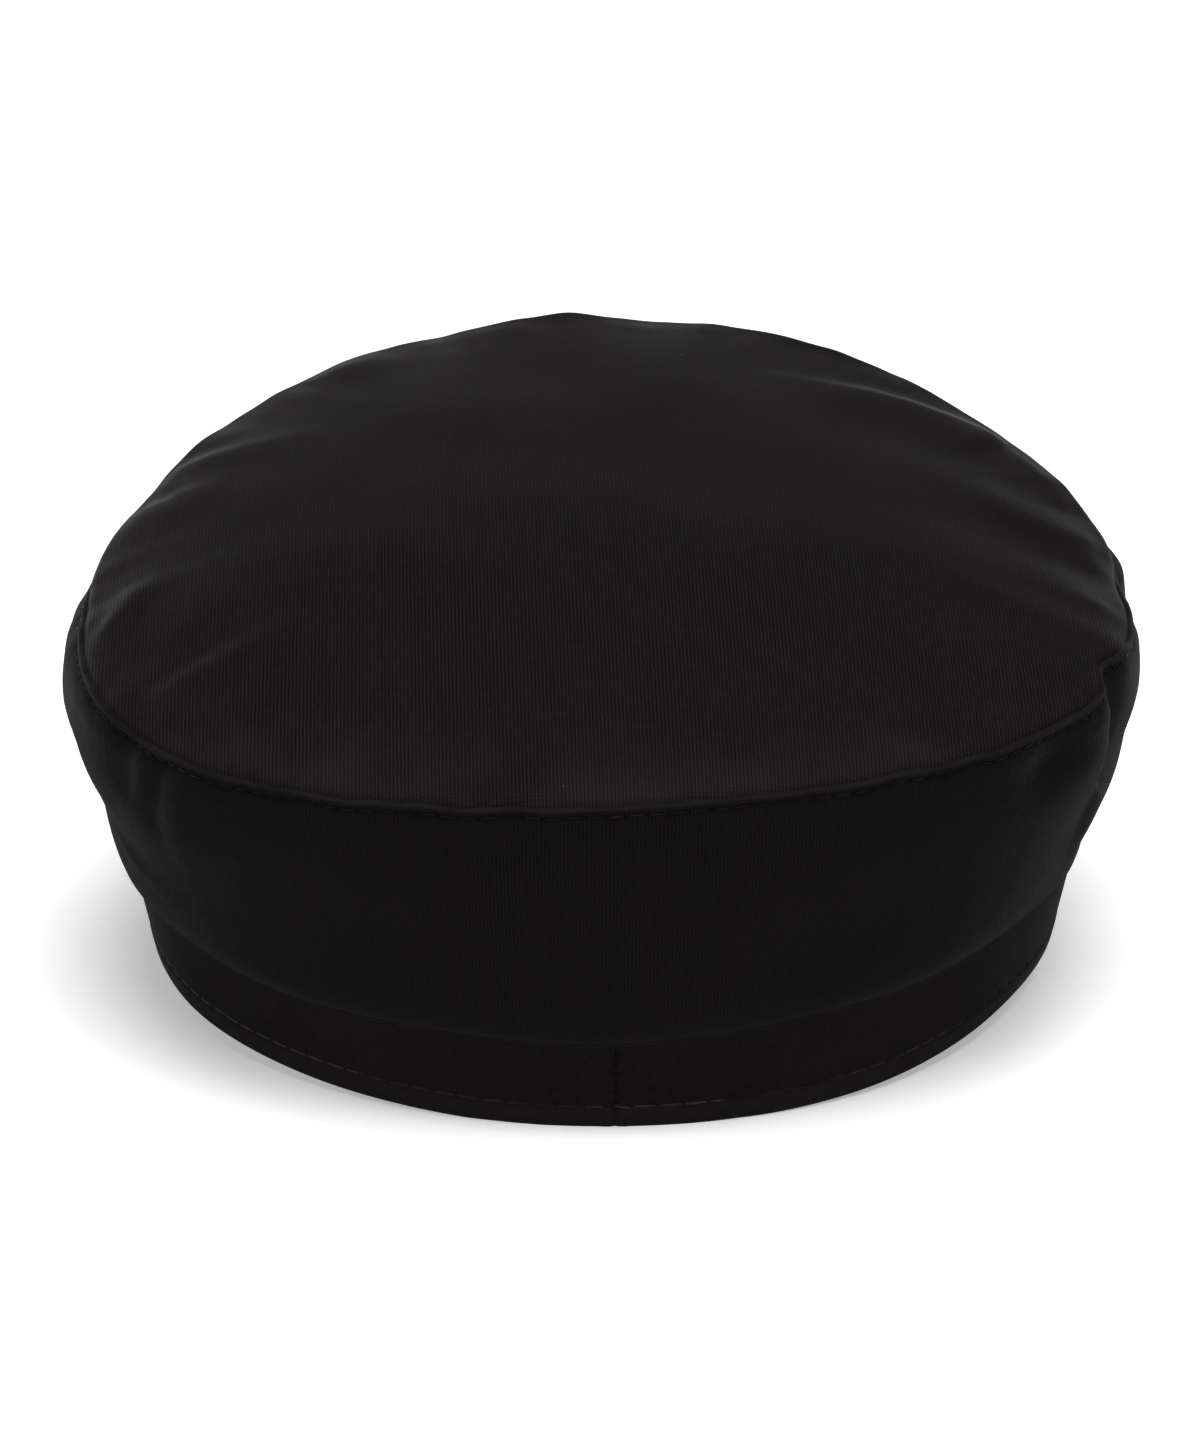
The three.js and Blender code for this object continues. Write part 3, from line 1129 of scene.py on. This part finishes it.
@dataclass
class CrownTop(ClothPiece):
    """The wide domed panel on top, sewn into the wall all round."""

    NODE: ClassVar[str] = "crown_top"
    SLOT: ClassVar[Slot] = Slot.CROWN

    tuck: float = 0.6
    far_reach: float = 0.5
    sink: float = 1.5
    sink_width: float = 0.8
    sink_power: float = 1.4
    far_round: float = 1.8
    seam_hold: float = 0.06
    waves: Ripple = Ripple(height=0.35, size=34.0)
    puckers: Ripple = Ripple(height=0.16, size=9.0)
    pucker_reach: float = 16.0
    # Painted light with wear: a lighter band along the seam, in patches, weaker on the right.
    seam_wear_and_light: float = 0.24
    wear_and_light_reach: float = 14.0
    wear_and_light_patches: Patches = Patches(size=11.0, mean=0.75, spread=0.9)
    right_wear_and_light: float = 0.2
    right_start: float = 10.0
    right_fade: float = 50.0
    top_rows: int = 88
    rim_rows: int = 4
    under_rows: int = 12
    row_power: float = 1.5

    def surface(self, angle: float, ratio: float, below: float) -> Vector:
        """A point of the panel.

        Args:
            angle: where round the cap.
            ratio: share of the way from the middle to the seam.
            below: depth under the outer face.

        Returns:
            The point in the level frame.
        """
        form = self.form
        inward, down = form.pull(angle)
        pull = ratio**form.pull_fade
        shows = form.shows_seam(angle)
        edge = form.cut_radius(angle) - mix(-self.far_reach, self.tuck, shows)
        point = polar(angle, ratio * edge - pull * (inward - form.edge_fold(angle)), 0.0)
        from_seam = (1 - ratio) * form.cut_radius(angle)
        near_sink = self.sink * math.exp(-((from_seam / self.sink_width) ** self.sink_power))
        over = max(0.0, 1 - from_seam / self.far_round)
        far_sink = self.far_round * (1 - math.sqrt(1 - over**2))
        dome = mix(form.top_centre_height, form.cut_height(angle), ratio**form.top_rounding)
        puckers = self.puckers.at(point) * bell(from_seam, self.pucker_reach)
        lift = form.crease_lift(point) + self.waves.at(point) + puckers
        hold = smooth((1 - ratio) / self.seam_hold)
        point.z = dome - pull * down + hold * lift - mix(far_sink, near_sink, shows) - below
        return point

    def under(self, angle: float, share: float) -> Vector:
        """A point of the underside, from the middle out."""
        return self.surface(angle, share, self.form.cloth)

    def rim(self, angle: float, share: float) -> Vector:
        """A point of the cut edge, from the underside up."""
        return self.surface(angle, 1.0, self.form.cloth * (1 - share))

    def top(self, angle: float, share: float) -> Vector:
        """A point of the outside, from the seam back to the middle."""
        return self.surface(angle, 1 - share**self.row_power, 0.0)

    def stretches(self) -> tuple[Stretch, ...]:
        """The underside, the cut edge and the outside."""
        rows = (self.under_rows, self.rim_rows, self.top_rows)
        return tuple(map(Stretch, rows, (self.under, self.rim, self.top)))

    def wear_and_painted_light(self, place: float, point: Vector) -> float:
        """How much lighter the panel is painted: in patches along the seam at the back and on the left,
        partly wear and partly painted light.

        Args:
            place: the angle round the cap.
            point: the point in the level frame.

        Returns:
            The wear and painted light, from 0 up.
        """
        from_seam = self.form.seam(place)[0] - point.to_2d().length
        side = mix(1.0, self.right_wear_and_light, smooth((place - self.right_start) / self.right_fade))
        return self.seam_wear_and_light * side * bell(from_seam, self.wear_and_light_reach) * self.wear_and_light_patches.at(point)

    def declare(self, piece: bpy.types.Object) -> None:
        """Does nothing for the panel.

        Args:
            piece: the panel; not used.
        """


@dataclass
class Ring(ClothPiece):
    """A ring of cloth round the cap, with a row of stitches along it.

    Its section goes up the outside, over the upper edge, down the inside and round the lower edge.
    """

    STITCH_ENDS: ClassVar[tuple[float, float]] = (0.35, 0.65)

    stitch_pitch: float = 4.0
    hole_power: int = 6
    outside_rows: int = 72
    edge_rows: int = 8
    inside_rows: int = 12
    row_crowding: float = 0.0

    def __post_init__(self) -> None:
        """Measures the ring, for its ribs and stitches."""
        self.arc = ArcLength(self.line_radius)
        self.stitches = round(self.arc.total / self.stitch_pitch)

    @abstractmethod
    def line_radius(self, angle: float) -> float:
        """Distance from the middle to the line along which the cloth is measured."""

    @abstractmethod
    def edge_height(self) -> float:
        """Height of the rounding of each edge."""

    @abstractmethod
    def span(self, angle: float) -> tuple[float, float]:
        """Heights at which the lower and the upper edge start to turn."""

    @abstractmethod
    def outer(self, angle: float, height: float) -> Vector:
        """A point of the outer face."""

    @abstractmethod
    def inner(self, angle: float, height: float) -> Vector:
        """A point of the inner face."""

    @abstractmethod
    def stitch_line(self, angle: float) -> Vector:
        """The point of the row of stitches at an angle."""

    def settle(self, point: Vector) -> Vector:
        """Where a point of the lower edge comes to lie: where it is."""
        return point

    def outside(self, angle: float, share: float) -> Vector:
        """A point of the outside, from the lower edge up."""
        crowded = share - self.row_crowding * math.sin(math.tau * share)
        return self.outer(angle, mix(*self.span(angle), crowded))

    def upper_edge(self, angle: float, share: float) -> Vector:
        """A point of the upper edge, from the outside in."""
        high = self.span(angle)[1]
        return half_round(self.outer(angle, high), self.inner(angle, high), UP * self.edge_height(), share)

    def inside(self, angle: float, share: float) -> Vector:
        """A point of the inside, from the upper edge down."""
        low, high = self.span(angle)
        return self.inner(angle, mix(high, low, share))

    def lower_edge(self, angle: float, share: float) -> Vector:
        """A point of the lower edge.

        Args:
            angle: where round the cap.
            share: of the way from the inside out.

        Returns:
            The point in the level frame.
        """
        low = self.span(angle)[0]
        down = UP * -self.edge_height()
        return self.settle(half_round(self.inner(angle, low), self.outer(angle, low), down, share))

    def stretches(self) -> tuple[Stretch, ...]:
        """The outside, the upper edge, the inside and the lower edge."""
        rows = (self.outside_rows, self.edge_rows, self.inside_rows, self.edge_rows)
        return tuple(map(Stretch, rows, (self.outside, self.upper_edge, self.inside, self.lower_edge)))

    def cloth_place(self, place: float, point: Vector) -> tuple[float, float]:
        """Where a point lies on the flat cloth, in metres: along the ring and up."""
        return self.arc.at(place) * MM, point.z * MM

    def hole(self, angle: float) -> float:
        """1 where the thread goes into the cloth, and 0 between."""
        phase = self.arc.at(angle) / self.arc.total * self.stitches
        return max(0.0, math.cos(math.tau * phase)) ** self.hole_power

    def stitch_places(self) -> StitchPlaces:
        """Spaces the stitches evenly round the ring.

        Returns:
            The middle of each stitch and the way that it runs.
        """
        places = []
        for number in range(self.stitches):
            counts = [(number + share) / self.stitches for share in self.STITCH_ENDS]
            start, end = (self.stitch_line(self.arc.angle_at(self.arc.total * count)) for count in counts)
            places.append(((start + end) / 2, (end - start).normalized()))
        return places


@dataclass
class CrownWall(Ring):
    """The strip between the crown's seam and the head band, with a topstitched edge and a soft roll."""

    NODE: ClassVar[str] = "crown_wall"
    SLOT: ClassVar[Slot] = Slot.CROWN

    stitch_pitch: float = 3.86
    outside_rows: int = 84
    inside_rows: int = 14
    row_crowding: float = 0.11
    ridge: float = 0.55
    ridge_depth: float = 0.4
    ridge_width: float = 0.5
    ridge_pinch: float = 0.2
    stitch_depth: float = 1.9
    groove: float = 0.2
    groove_width: float = 0.45
    pit: float = 0.28
    swell: float = 0.35
    swell_depth: float = 4.6
    swell_width: float = 2.4
    waves: Ripple = Ripple(height=0.3, size=30.0)
    wave_fade: float = 0.15
    puckers: Ripple = Ripple(height=0.22, size=7.0, upright=0.3)
    pucker_start: float = 3.0
    pucker_reach: float = 13.0
    # A painted highlight, with wear, in patches along the top of the seam's ridge.
    ridge_wear_and_highlight: float = 1.0
    ridge_highlight_depth: float = 0.3
    ridge_highlight_width: float = 0.38
    wear_and_light_patches: Patches = Patches(size=8.0, mean=0.8, spread=0.9)

    def line_radius(self, angle: float) -> float:
        """Distance from the middle to the crown's seam."""
        return self.form.seam(angle)[0]

    def edge_height(self) -> float:
        """Height of the rounding of each edge, which is half the cloth."""
        return self.form.cloth / 2

    def span(self, angle: float) -> tuple[float, float]:
        """Heights at which the foot and the lip start to turn."""
        half = self.edge_height()
        return self.form.foot_height(angle) + half, self.form.lip_height(angle) - half

    def edge_detail(self, angle: float, depth: float) -> float:
        """How far the sewn edge stands out.

        Args:
            angle: where round the cap.
            depth: millimetres below the top of the seam.

        Returns:
            The distance outwards, in millimetres.
        """
        hole = self.hole(angle)
        ridge = self.ridge * bell(max(0.0, depth - self.ridge_depth), self.ridge_width)
        line = bell(depth - self.stitch_depth, self.groove_width)
        swell = self.swell * bell(depth - self.swell_depth, self.swell_width)
        return ridge * (1 - self.ridge_pinch * hole) - (self.groove + self.pit * hole) * line + swell

    def outer(self, angle: float, height: float) -> Vector:
        """A point of the wall's outer face.

        Args:
            angle: where round the cap.
            height: in the level frame.

        Returns:
            The point in the level frame.
        """
        foot, lip = self.span(angle)
        share = (height - foot) / (lip - foot)
        depth = lip + self.edge_height() - height
        radius = self.form.wall_radius(angle, share) + self.edge_detail(angle, depth)
        point = polar(angle, radius, height)
        middle = smooth(share / self.wave_fade) * smooth((1 - share) / self.wave_fade)
        sewn = bell(depth, self.pucker_reach) * smooth((depth - self.stitch_depth) / self.pucker_start)
        return polar(angle, radius + self.waves.at(point) * middle + self.puckers.at(point) * sewn, height)

    def inner(self, angle: float, height: float) -> Vector:
        """A point of the wall's inner face, as far behind the outer one as the cloth is thick."""
        outer = self.outer(angle, height)
        return outer - outer.to_2d().normalized().to_3d() * self.form.cloth

    def stitch_line(self, angle: float) -> Vector:
        """The point of the topstitching at an angle."""
        return self.outer(angle, self.form.lip_height(angle) - self.stitch_depth)

    def wear_and_painted_light(self, place: float, point: Vector) -> float:
        """How much lighter the wall is painted: in patches along the top of its sewn edge, a painted
        highlight on the ridge with some wear.

        Args:
            place: the angle round the cap.
            point: the point in the level frame.

        Returns:
            The painted highlight and wear, from 0 up.
        """
        depth = self.form.lip_height(place) - point.z
        line = bell(depth - self.ridge_highlight_depth, self.ridge_highlight_width)
        return self.ridge_wear_and_highlight * self.wear_and_light_patches.at(point) * line

    def declare(self, piece: bpy.types.Object) -> None:
        """Measures the wall's height along the seam, and keeps nothing of it.

        Args:
            piece: the wall; not used.
        """
        heights = [lip - foot for foot, lip in map(self.span, self.arc.angles())]


@dataclass
class HeadBand(Ring):
    """The stiff ring round the head, with a topstitched hem and a closing seam at the back."""

    NODE: ClassVar[str] = "head_band"
    SLOT: ClassVar[Slot] = Slot.BAND

    stitch_pitch: float = 4.8
    hole_power: int = 3
    edge_round: float = 1.7
    hem_height: float = 5.0
    hem_groove: float = 0.26
    hem_groove_width: float = 0.5
    hem_swell: float = 0.15
    hem_middle: float = 3.2
    hem_width: float = 1.6
    pit: float = 0.2
    seam_angle: float = -0.5
    seam_reach: float = 6.0
    seam_groove: float = 0.9
    seam_groove_width: float = 0.36
    seam_groove_least: float = 0.4
    seam_start: float = 4.0
    seam_stitch: float = 2.1
    seam_drift: float = 3.0
    seam_ridge: float = 0.22
    seam_ridge_place: float = 1.7
    seam_ridge_width: float = 0.9
    waves: Ripple = Ripple(height=0.2, size=26.0, upright=0.4)
    # Painted light from the bright floor, with wear: the hem below its stitches is lighter.
    hem_wear_and_floor_light: float = 0.3
    hem_light_fade: float = 0.8

    def line_radius(self, angle: float) -> float:
        """Distance from the middle to the band's lower edge."""
        return self.form.band_edge(angle)

    def edge_height(self) -> float:
        """Height of the rounding of each edge."""
        return self.edge_round

    def span(self, angle: float) -> tuple[float, float]:
        """Heights at which the lower and the upper edge start to turn."""
        return self.edge_round, self.form.band_height - self.edge_round

    def settle(self, point: Vector) -> Vector:
        """Presses a point up to the table if it would lie below it."""
        point.z = max(point.z, self.form.table_height(point.y))
        return point

    def detail(self, angle: float, height: float) -> float:
        """How far hem and closing seam stand out.

        Args:
            angle: where round the cap.
            height: above the band's lower edge.

        Returns:
            The distance outwards, in millimetres.
        """
        line = bell(height - self.hem_height, self.hem_groove_width)
        hem = self.hem_swell * bell(height - self.hem_middle, self.hem_width)
        hem -= (self.hem_groove + self.pit * self.hole(angle)) * line
        aside = math.radians(angle - self.seam_angle) * self.form.band_half_length
        if abs(aside) > self.seam_reach:
            return hem
        along = height + noise.noise(UP * (height / self.seam_drift))
        pull = 0.5 + 0.5 * math.cos(math.tau * along / self.seam_stitch)
        depth = self.seam_groove * mix(self.seam_groove_least, 1.0, pull) * smooth(height / self.seam_start)
        ridges = self.seam_ridge * bell(abs(aside) - self.seam_ridge_place, self.seam_ridge_width)
        return hem - depth * bell(aside, self.seam_groove_width) + ridges

    def surface(self, angle: float, height: float, radius: float) -> Vector:
        """A point of the band with its small waves, pressed flat where it meets the table."""
        waves = self.waves.at(polar(angle, radius, height))
        return self.settle(polar(angle, radius + waves, height))

    def outer(self, angle: float, height: float) -> Vector:
        """A point of the band's outer face."""
        return self.surface(angle, height, self.form.band_radius(angle, height) + self.detail(angle, height))

    def inner(self, angle: float, height: float) -> Vector:
        """A point of the band's plain inner face."""
        return self.surface(angle, height, self.form.band_radius(angle, height) - self.form.band_thickness)

    def stitch_line(self, angle: float) -> Vector:
        """The point of the hem's stitching at an angle."""
        return self.outer(angle, self.hem_height)

    def wear_and_painted_light(self, place: float, point: Vector) -> float:
        """How much lighter the band is painted below the hem's stitches: painted light from the bright floor,
        with wear.
        """
        return self.hem_wear_and_floor_light * smooth((self.hem_height - point.z) / self.hem_light_fade + 0.5)


@dataclass
class Peak(ClothPiece):
    """The short stiff crescent under the front of the band, covered in the same cloth.

    A place across it goes from -1 at one tip to 1 at the other.
    """

    NODE: ClassVar[str] = "peak"
    SLOT: ClassVar[Slot] = Slot.PEAK

    columns: int = 300
    half_angle: float = 78.0
    reach: float = 139.0
    half_width: float = 89.5
    thickness: float = 2.8
    tip_thickness: float = 1.2
    tip_taper: float = 0.15
    tip_power: int = 4
    tuck: float = 2.0
    sewn_up: float = 0.7
    sewn_reach: float = 0.12
    arch: float = 3.2
    rest_angle: float = 38.0
    round_depth: float = 5.0
    stitch_inset: float = 5.0
    stitch_pitch: float = 4.0
    stitch_room: float = 2.2
    stitch_steps: int = 400
    groove: float = 0.3
    groove_width: float = 0.6
    groove_fade: float = 12.0
    top_rows: int = 64
    root_rows: int = 2
    under_rows: int = 20
    rim_rows: int = 10
    row_power: float = 1.4

    def column_place(self, column: float) -> float:
        """The place across the peak of a column, given as a share of the way."""
        return 2 * column - 1

    def sides(self, across: float) -> tuple[Vector, Vector]:
        """The upper root and rim points of the crescent.

        Args:
            across: where across the peak.

        Returns:
            The point under the band and the point on the rim.
        """
        form = self.form
        angle = FRONT + across * self.half_angle
        root = polar(angle, form.band_edge(angle) - self.tuck, -form.gap)
        end_angle = FRONT + self.half_angle
        end = polar(end_angle, form.band_edge(end_angle) - self.tuck, 0.0)
        sweep = math.radians(across * QUARTER_TURN)
        rim_x = mix(self.half_width, end.x, across**self.tip_power) * math.sin(sweep)
        rim_y = end.y - (self.reach + end.y) * math.cos(sweep)
        lies = smooth(QUARTER_TURN * (1 - abs(across)) / (QUARTER_TURN - self.rest_angle))
        rim_z = mix(-form.gap, form.table_height(rim_y) + self.thickness, lies)
        return root, Vector((rim_x, rim_y, rim_z))

    def run(self, across: float) -> Vector:
        """The way from the root to the rim."""
        root, rim = self.sides(across)
        return rim - root

    def depth_at(self, across: float) -> float:
        """Thickness of the peak, which thins towards its two tips."""
        return mix(self.tip_thickness, self.thickness, smooth((1 - abs(across)) / self.tip_taper))

    def rounding(self, across: float) -> Vector:
        """How far the rounded rim stands out, and which way."""
        run = self.run(across)
        return run.normalized() * (self.thickness / 2 * min(1.0, run.length / self.round_depth))

    def surface(self, across: float, share: float, below: float) -> Vector:
        """A point of the peak.

        Args:
            across: where across the peak.
            share: from 0 under the band to 1 at the rim.
            below: depth under the upper face.

        Returns:
            The point in the level frame.
        """
        root, rim = self.sides(across)
        point = root.lerp(rim, share)
        rise = self.arch * math.sin(math.pi * share) * math.cos(math.radians(across * QUARTER_TURN))
        point.z += rise - below + self.sewn_up * (1 - smooth(share / self.sewn_reach))
        return point

    def groove_at(self, across: float, share: float) -> float:
        """Depth of the topstitched groove that follows the rim.

        Args:
            across: where across the peak.
            share: from 0 under the band to 1 at the rim.

        Returns:
            The depth in millimetres.
        """
        length = self.run(across).length
        line = bell((1 - share) * length - self.stitch_inset, self.groove_width)
        return self.groove * line * smooth(length / self.groove_fade)

    def top(self, across: float, share: float) -> Vector:
        """A point of the upper face, from the rim to the root.

        Args:
            across: where across the peak.
            share: of the way.

        Returns:
            The point in the level frame.
        """
        along = 1 - share**self.row_power
        point = self.surface(across, along, self.groove_at(across, along))
        return point - self.rounding(across) * along

    def root(self, across: float, share: float) -> Vector:
        """A point of the face under the band, from the upper face down."""
        return self.surface(across, 0.0, self.depth_at(across) * share)

    def under(self, across: float, share: float) -> Vector:
        """A point of the underside, from the root to the rim."""
        return self.surface(across, share, self.depth_at(across)) - self.rounding(across) * share

    def rim(self, across: float, share: float) -> Vector:
        """A point of the rounded rim, from the underside up."""
        return half_round(self.under(across, 1.0), self.top(across, 0.0), self.rounding(across), share)

    def stretches(self) -> tuple[Stretch, ...]:
        """The upper face, the root, the underside and the rim."""
        rows = (self.top_rows, self.root_rows, self.under_rows, self.rim_rows)
        return tuple(map(Stretch, rows, (self.top, self.root, self.under, self.rim)))

    def stitch_places(self) -> StitchPlaces:
        """Walks along the groove, where the peak is deep enough for one, and drops a stitch at each pitch.

        Returns:
            The middle of each stitch and the way that it runs.
        """
        line = []
        for step in range(1, self.stitch_steps):
            across = 2 * step / self.stitch_steps - 1
            length = self.run(across).length
            if length > self.stitch_room * self.stitch_inset:
                share = 1 - self.stitch_inset / length
                line.append(self.surface(across, share, self.groove_at(across, share)))
        places = []
        walked = 0.0
        for before, after in zip(line, line[1:]):
            walked += (after - before).length
            if walked >= self.stitch_pitch:
                walked -= self.stitch_pitch
                places.append((after, (after - before).normalized()))
        return places


@dataclass
class Stitching:
    """A row of sewing stitches, each a short thread that dips into the cloth at both ends."""

    name: str
    places: StitchPlaces
    length: float
    width: float = 0.5
    height: float = 0.34
    unevenness: float = 0.14
    sides: int = 8
    rings: int = 6

    def build(self, seat: Seat, material: bpy.types.Material, slot: Slot) -> bpy.types.Object:
        """Makes and dresses the row as one mesh.

        Args:
            seat: where the cap stands.
            material: the thread's finish.
            slot: the record's slot of the cloth that it is sewn into.

        Returns:
            The piece.
        """
        shape = bmesh.new()
        counts = {"u_segments": self.sides, "v_segments": self.rings}
        for middle, run in self.places:
            side = run.cross(Vector((middle.x, middle.y, 0.0)).normalized()).normalized()
            out = side.cross(run).normalized()
            axes = Matrix((side * self.width / 2, out * self.height / 2, run * self.length / 2)).transposed()
            lifted = middle + out * (self.unevenness * noise.noise(middle))
            bmesh.ops.create_uvsphere(shape, radius=1.0, matrix=seat.stand(axes * MM, lifted), **counts)
        for face in shape.faces:
            face.smooth = True
        bmesh.ops.recalc_face_normals(shape, faces=shape.faces)
        piece = link_mesh(self.name, shape)
        dress(piece, material, slot)
        return piece


@dataclass(frozen=True)
class PhotoCamera:
    """The camera that the photograph was taken with, given in the cap's level frame."""

    elevation: float = 23.23
    azimuth: float = 178.3
    distance: float = 1300.0
    aim: tuple[float, float, float] = (0.0, 0.0, 45.0)
    focal_px: float = 6497.0
    frame_px: tuple[float, float] = (1200.0, 1440.0)
    aim_px: tuple[float, float] = (604.1, 706.75)
    sensor_mm: float = 36.0
    nearest: float = 0.05
    farthest: float = 50.0

    def build(self, seat: Seat) -> bpy.types.Object:
        """Makes the scene's camera.

        Args:
            seat: where the cap stands.

        Returns:
            The camera.
        """
        rise = math.radians(self.elevation)
        around = math.radians(self.azimuth)
        level = math.cos(rise)
        back = Vector((math.sin(around) * level, -math.cos(around) * level, math.sin(rise)))
        right = UP.cross(back).normalized()
        up = back.cross(right)
        scale = self.distance / self.focal_px
        aside = (self.frame_px[0] / 2 - self.aim_px[0]) * scale
        above = (self.aim_px[1] - self.frame_px[1] / 2) * scale
        place = Vector(self.aim) + right * aside + up * above + back * self.distance
        lens = bpy.data.cameras.new("photo_camera")
        lens.sensor_width = self.sensor_mm
        lens.lens = self.focal_px / max(self.frame_px) * self.sensor_mm
        lens.clip_start = self.nearest
        lens.clip_end = self.farthest
        camera = bpy.data.objects.new("photo_camera", lens)
        bpy.context.scene.collection.objects.link(camera)
        camera.matrix_world = seat.stand(Matrix((right, up, back)).transposed(), place)
        bpy.context.scene.camera = camera
        return camera


@dataclass(frozen=True)
class Softbox:
    """A large lamp that gives soft light. Its sizes are metres of the row frame, and its power is watts."""

    name: str
    place: tuple[float, float, float]
    size: tuple[float, float]
    power: float
    aim: tuple[float, float, float] = (0.0, 0.0, 0.05)

    def build(self) -> bpy.types.Object:
        """Makes the lamp.

        Returns:
            The lamp's object.
        """
        lamp = bpy.data.lights.new(self.name, "AREA")
        lamp.shape = "RECTANGLE"
        lamp.size, lamp.size_y = self.size
        lamp.energy = self.power
        thing = bpy.data.objects.new(self.name, lamp)
        thing.location = self.place
        thing.rotation_mode = "QUATERNION"
        thing.rotation_quaternion = (Vector(self.aim) - Vector(self.place)).to_track_quat("-Z", "Y")
        bpy.context.scene.collection.objects.link(thing)
        return thing


@dataclass(frozen=True)
class Studio:
    """The pale floor and the soft light."""

    floor_half: float = 4.0
    sky: float = 0.06
    sky_colour: Colour = (1.0, 1.0, 1.0, 1.0)
    lamps: tuple[Softbox, ...] = (
        Softbox("key_lamp", place=(-0.1, 0.5, 1.72), size=(1.2, 1.2), power=39.5),
        Softbox("far_lamp", place=(0.0, -2.4, 0.22), size=(2.2, 0.7), power=35.0, aim=(0.0, 0.0, 0.08)),
        Softbox("left_lamp", place=(2.0, -0.5, 0.4), size=(0.9, 0.7), power=6.0),
        Softbox("right_lamp", place=(-2.0, -0.5, 0.4), size=(0.9, 0.7), power=1.5),
        Softbox("front_low_lamp", place=(0.0, -1.6, 0.07), size=(1.8, 0.12), power=14.0),
    )

    def build(self) -> None:
        """Makes floor, sky and lamps, and sets how light becomes colour."""
        shape = bmesh.new()
        bmesh.ops.create_grid(shape, x_segments=2, y_segments=2, size=self.floor_half)
        floor = link_mesh("floor", shape)
        floor.data.materials.append(FloorFinish().make())
        world = bpy.data.worlds.new("studio_sky")
        world.use_nodes = True
        sky = world.node_tree.nodes["Background"]
        sky.inputs["Color"].default_value = self.sky_colour
        sky.inputs["Strength"].default_value = self.sky
        bpy.context.scene.world = world
        for lamp in self.lamps:
            lamp.build()
        view = bpy.context.scene.view_settings
        view.view_transform = "Standard"
        view.look = "None"
        view.exposure = 0.0
        view.gamma = 1.0


def main() -> None:
    """Builds the cap piece by piece, and logs each piece's number of faces."""
    logging.basicConfig(level=logging.INFO, format="%(message)s")
    form = CapForm()
    seat = Seat.from_frame(form)
    PhotoCamera().build(seat)
    Studio().build()

    top_cloth = ClothFinish("crown_ribbed_cloth", ribs=0.42, rib_share=0.63, rib_growth=7.2, sheen=0.07)
    # Painted shade: the wall has the top's cloth with a darker light tone, as the upright wall gets less
    # light than the top.
    wall_painted_shade_tone = (0.0117, 0.0103, 0.0108, 1.0)
    wall_shaded_cloth = ClothFinish("wall_ribbed_cloth_painted_shade", ribs=0.34, light=wall_painted_shade_tone, sheen=0.05)
    band_cloth = ClothFinish("band_ribbed_cloth", ribs=0.16, sheen=0.04)
    peak_cloth = ClothFinish("peak_ribbed_cloth")
    seam_thread = ThreadFinish("black_thread").make()
    # The hem's thread is lighter, and painted lighter on one side by its lean: painted side light.
    hem_thread = ThreadFinish("worn_side_lit_thread", light=(0.07, 0.064, 0.065, 1.0), side_light_lean=8.0).make()

    top = CrownTop(form)
    wall = CrownWall(form)
    band = HeadBand(form)
    peak = Peak(form)
    crown_seam = Stitching("crown_seam_stitches", wall.stitch_places(), length=3.0, width=0.4)
    band_hem = Stitching("band_hem_stitches", band.stitch_places(), length=4.5)
    peak_rim = Stitching("peak_rim_stitches", peak.stitch_places(), length=3.0)
    pieces = [
        top.build(seat, top_cloth.make()),
        wall.build(seat, wall_shaded_cloth.make()),
        band.build(seat, band_cloth.make()),
        peak.build(seat, peak_cloth.make()),
        crown_seam.build(seat, seam_thread, Slot.CROWN),
        band_hem.build(seat, hem_thread, Slot.BAND),
        peak_rim.build(seat, hem_thread, Slot.PEAK),
    ]
    for piece in pieces:
        LOG.info("%s: %d faces", piece.name, len(piece.data.polygons))


if __name__ == "__main__":
    main()
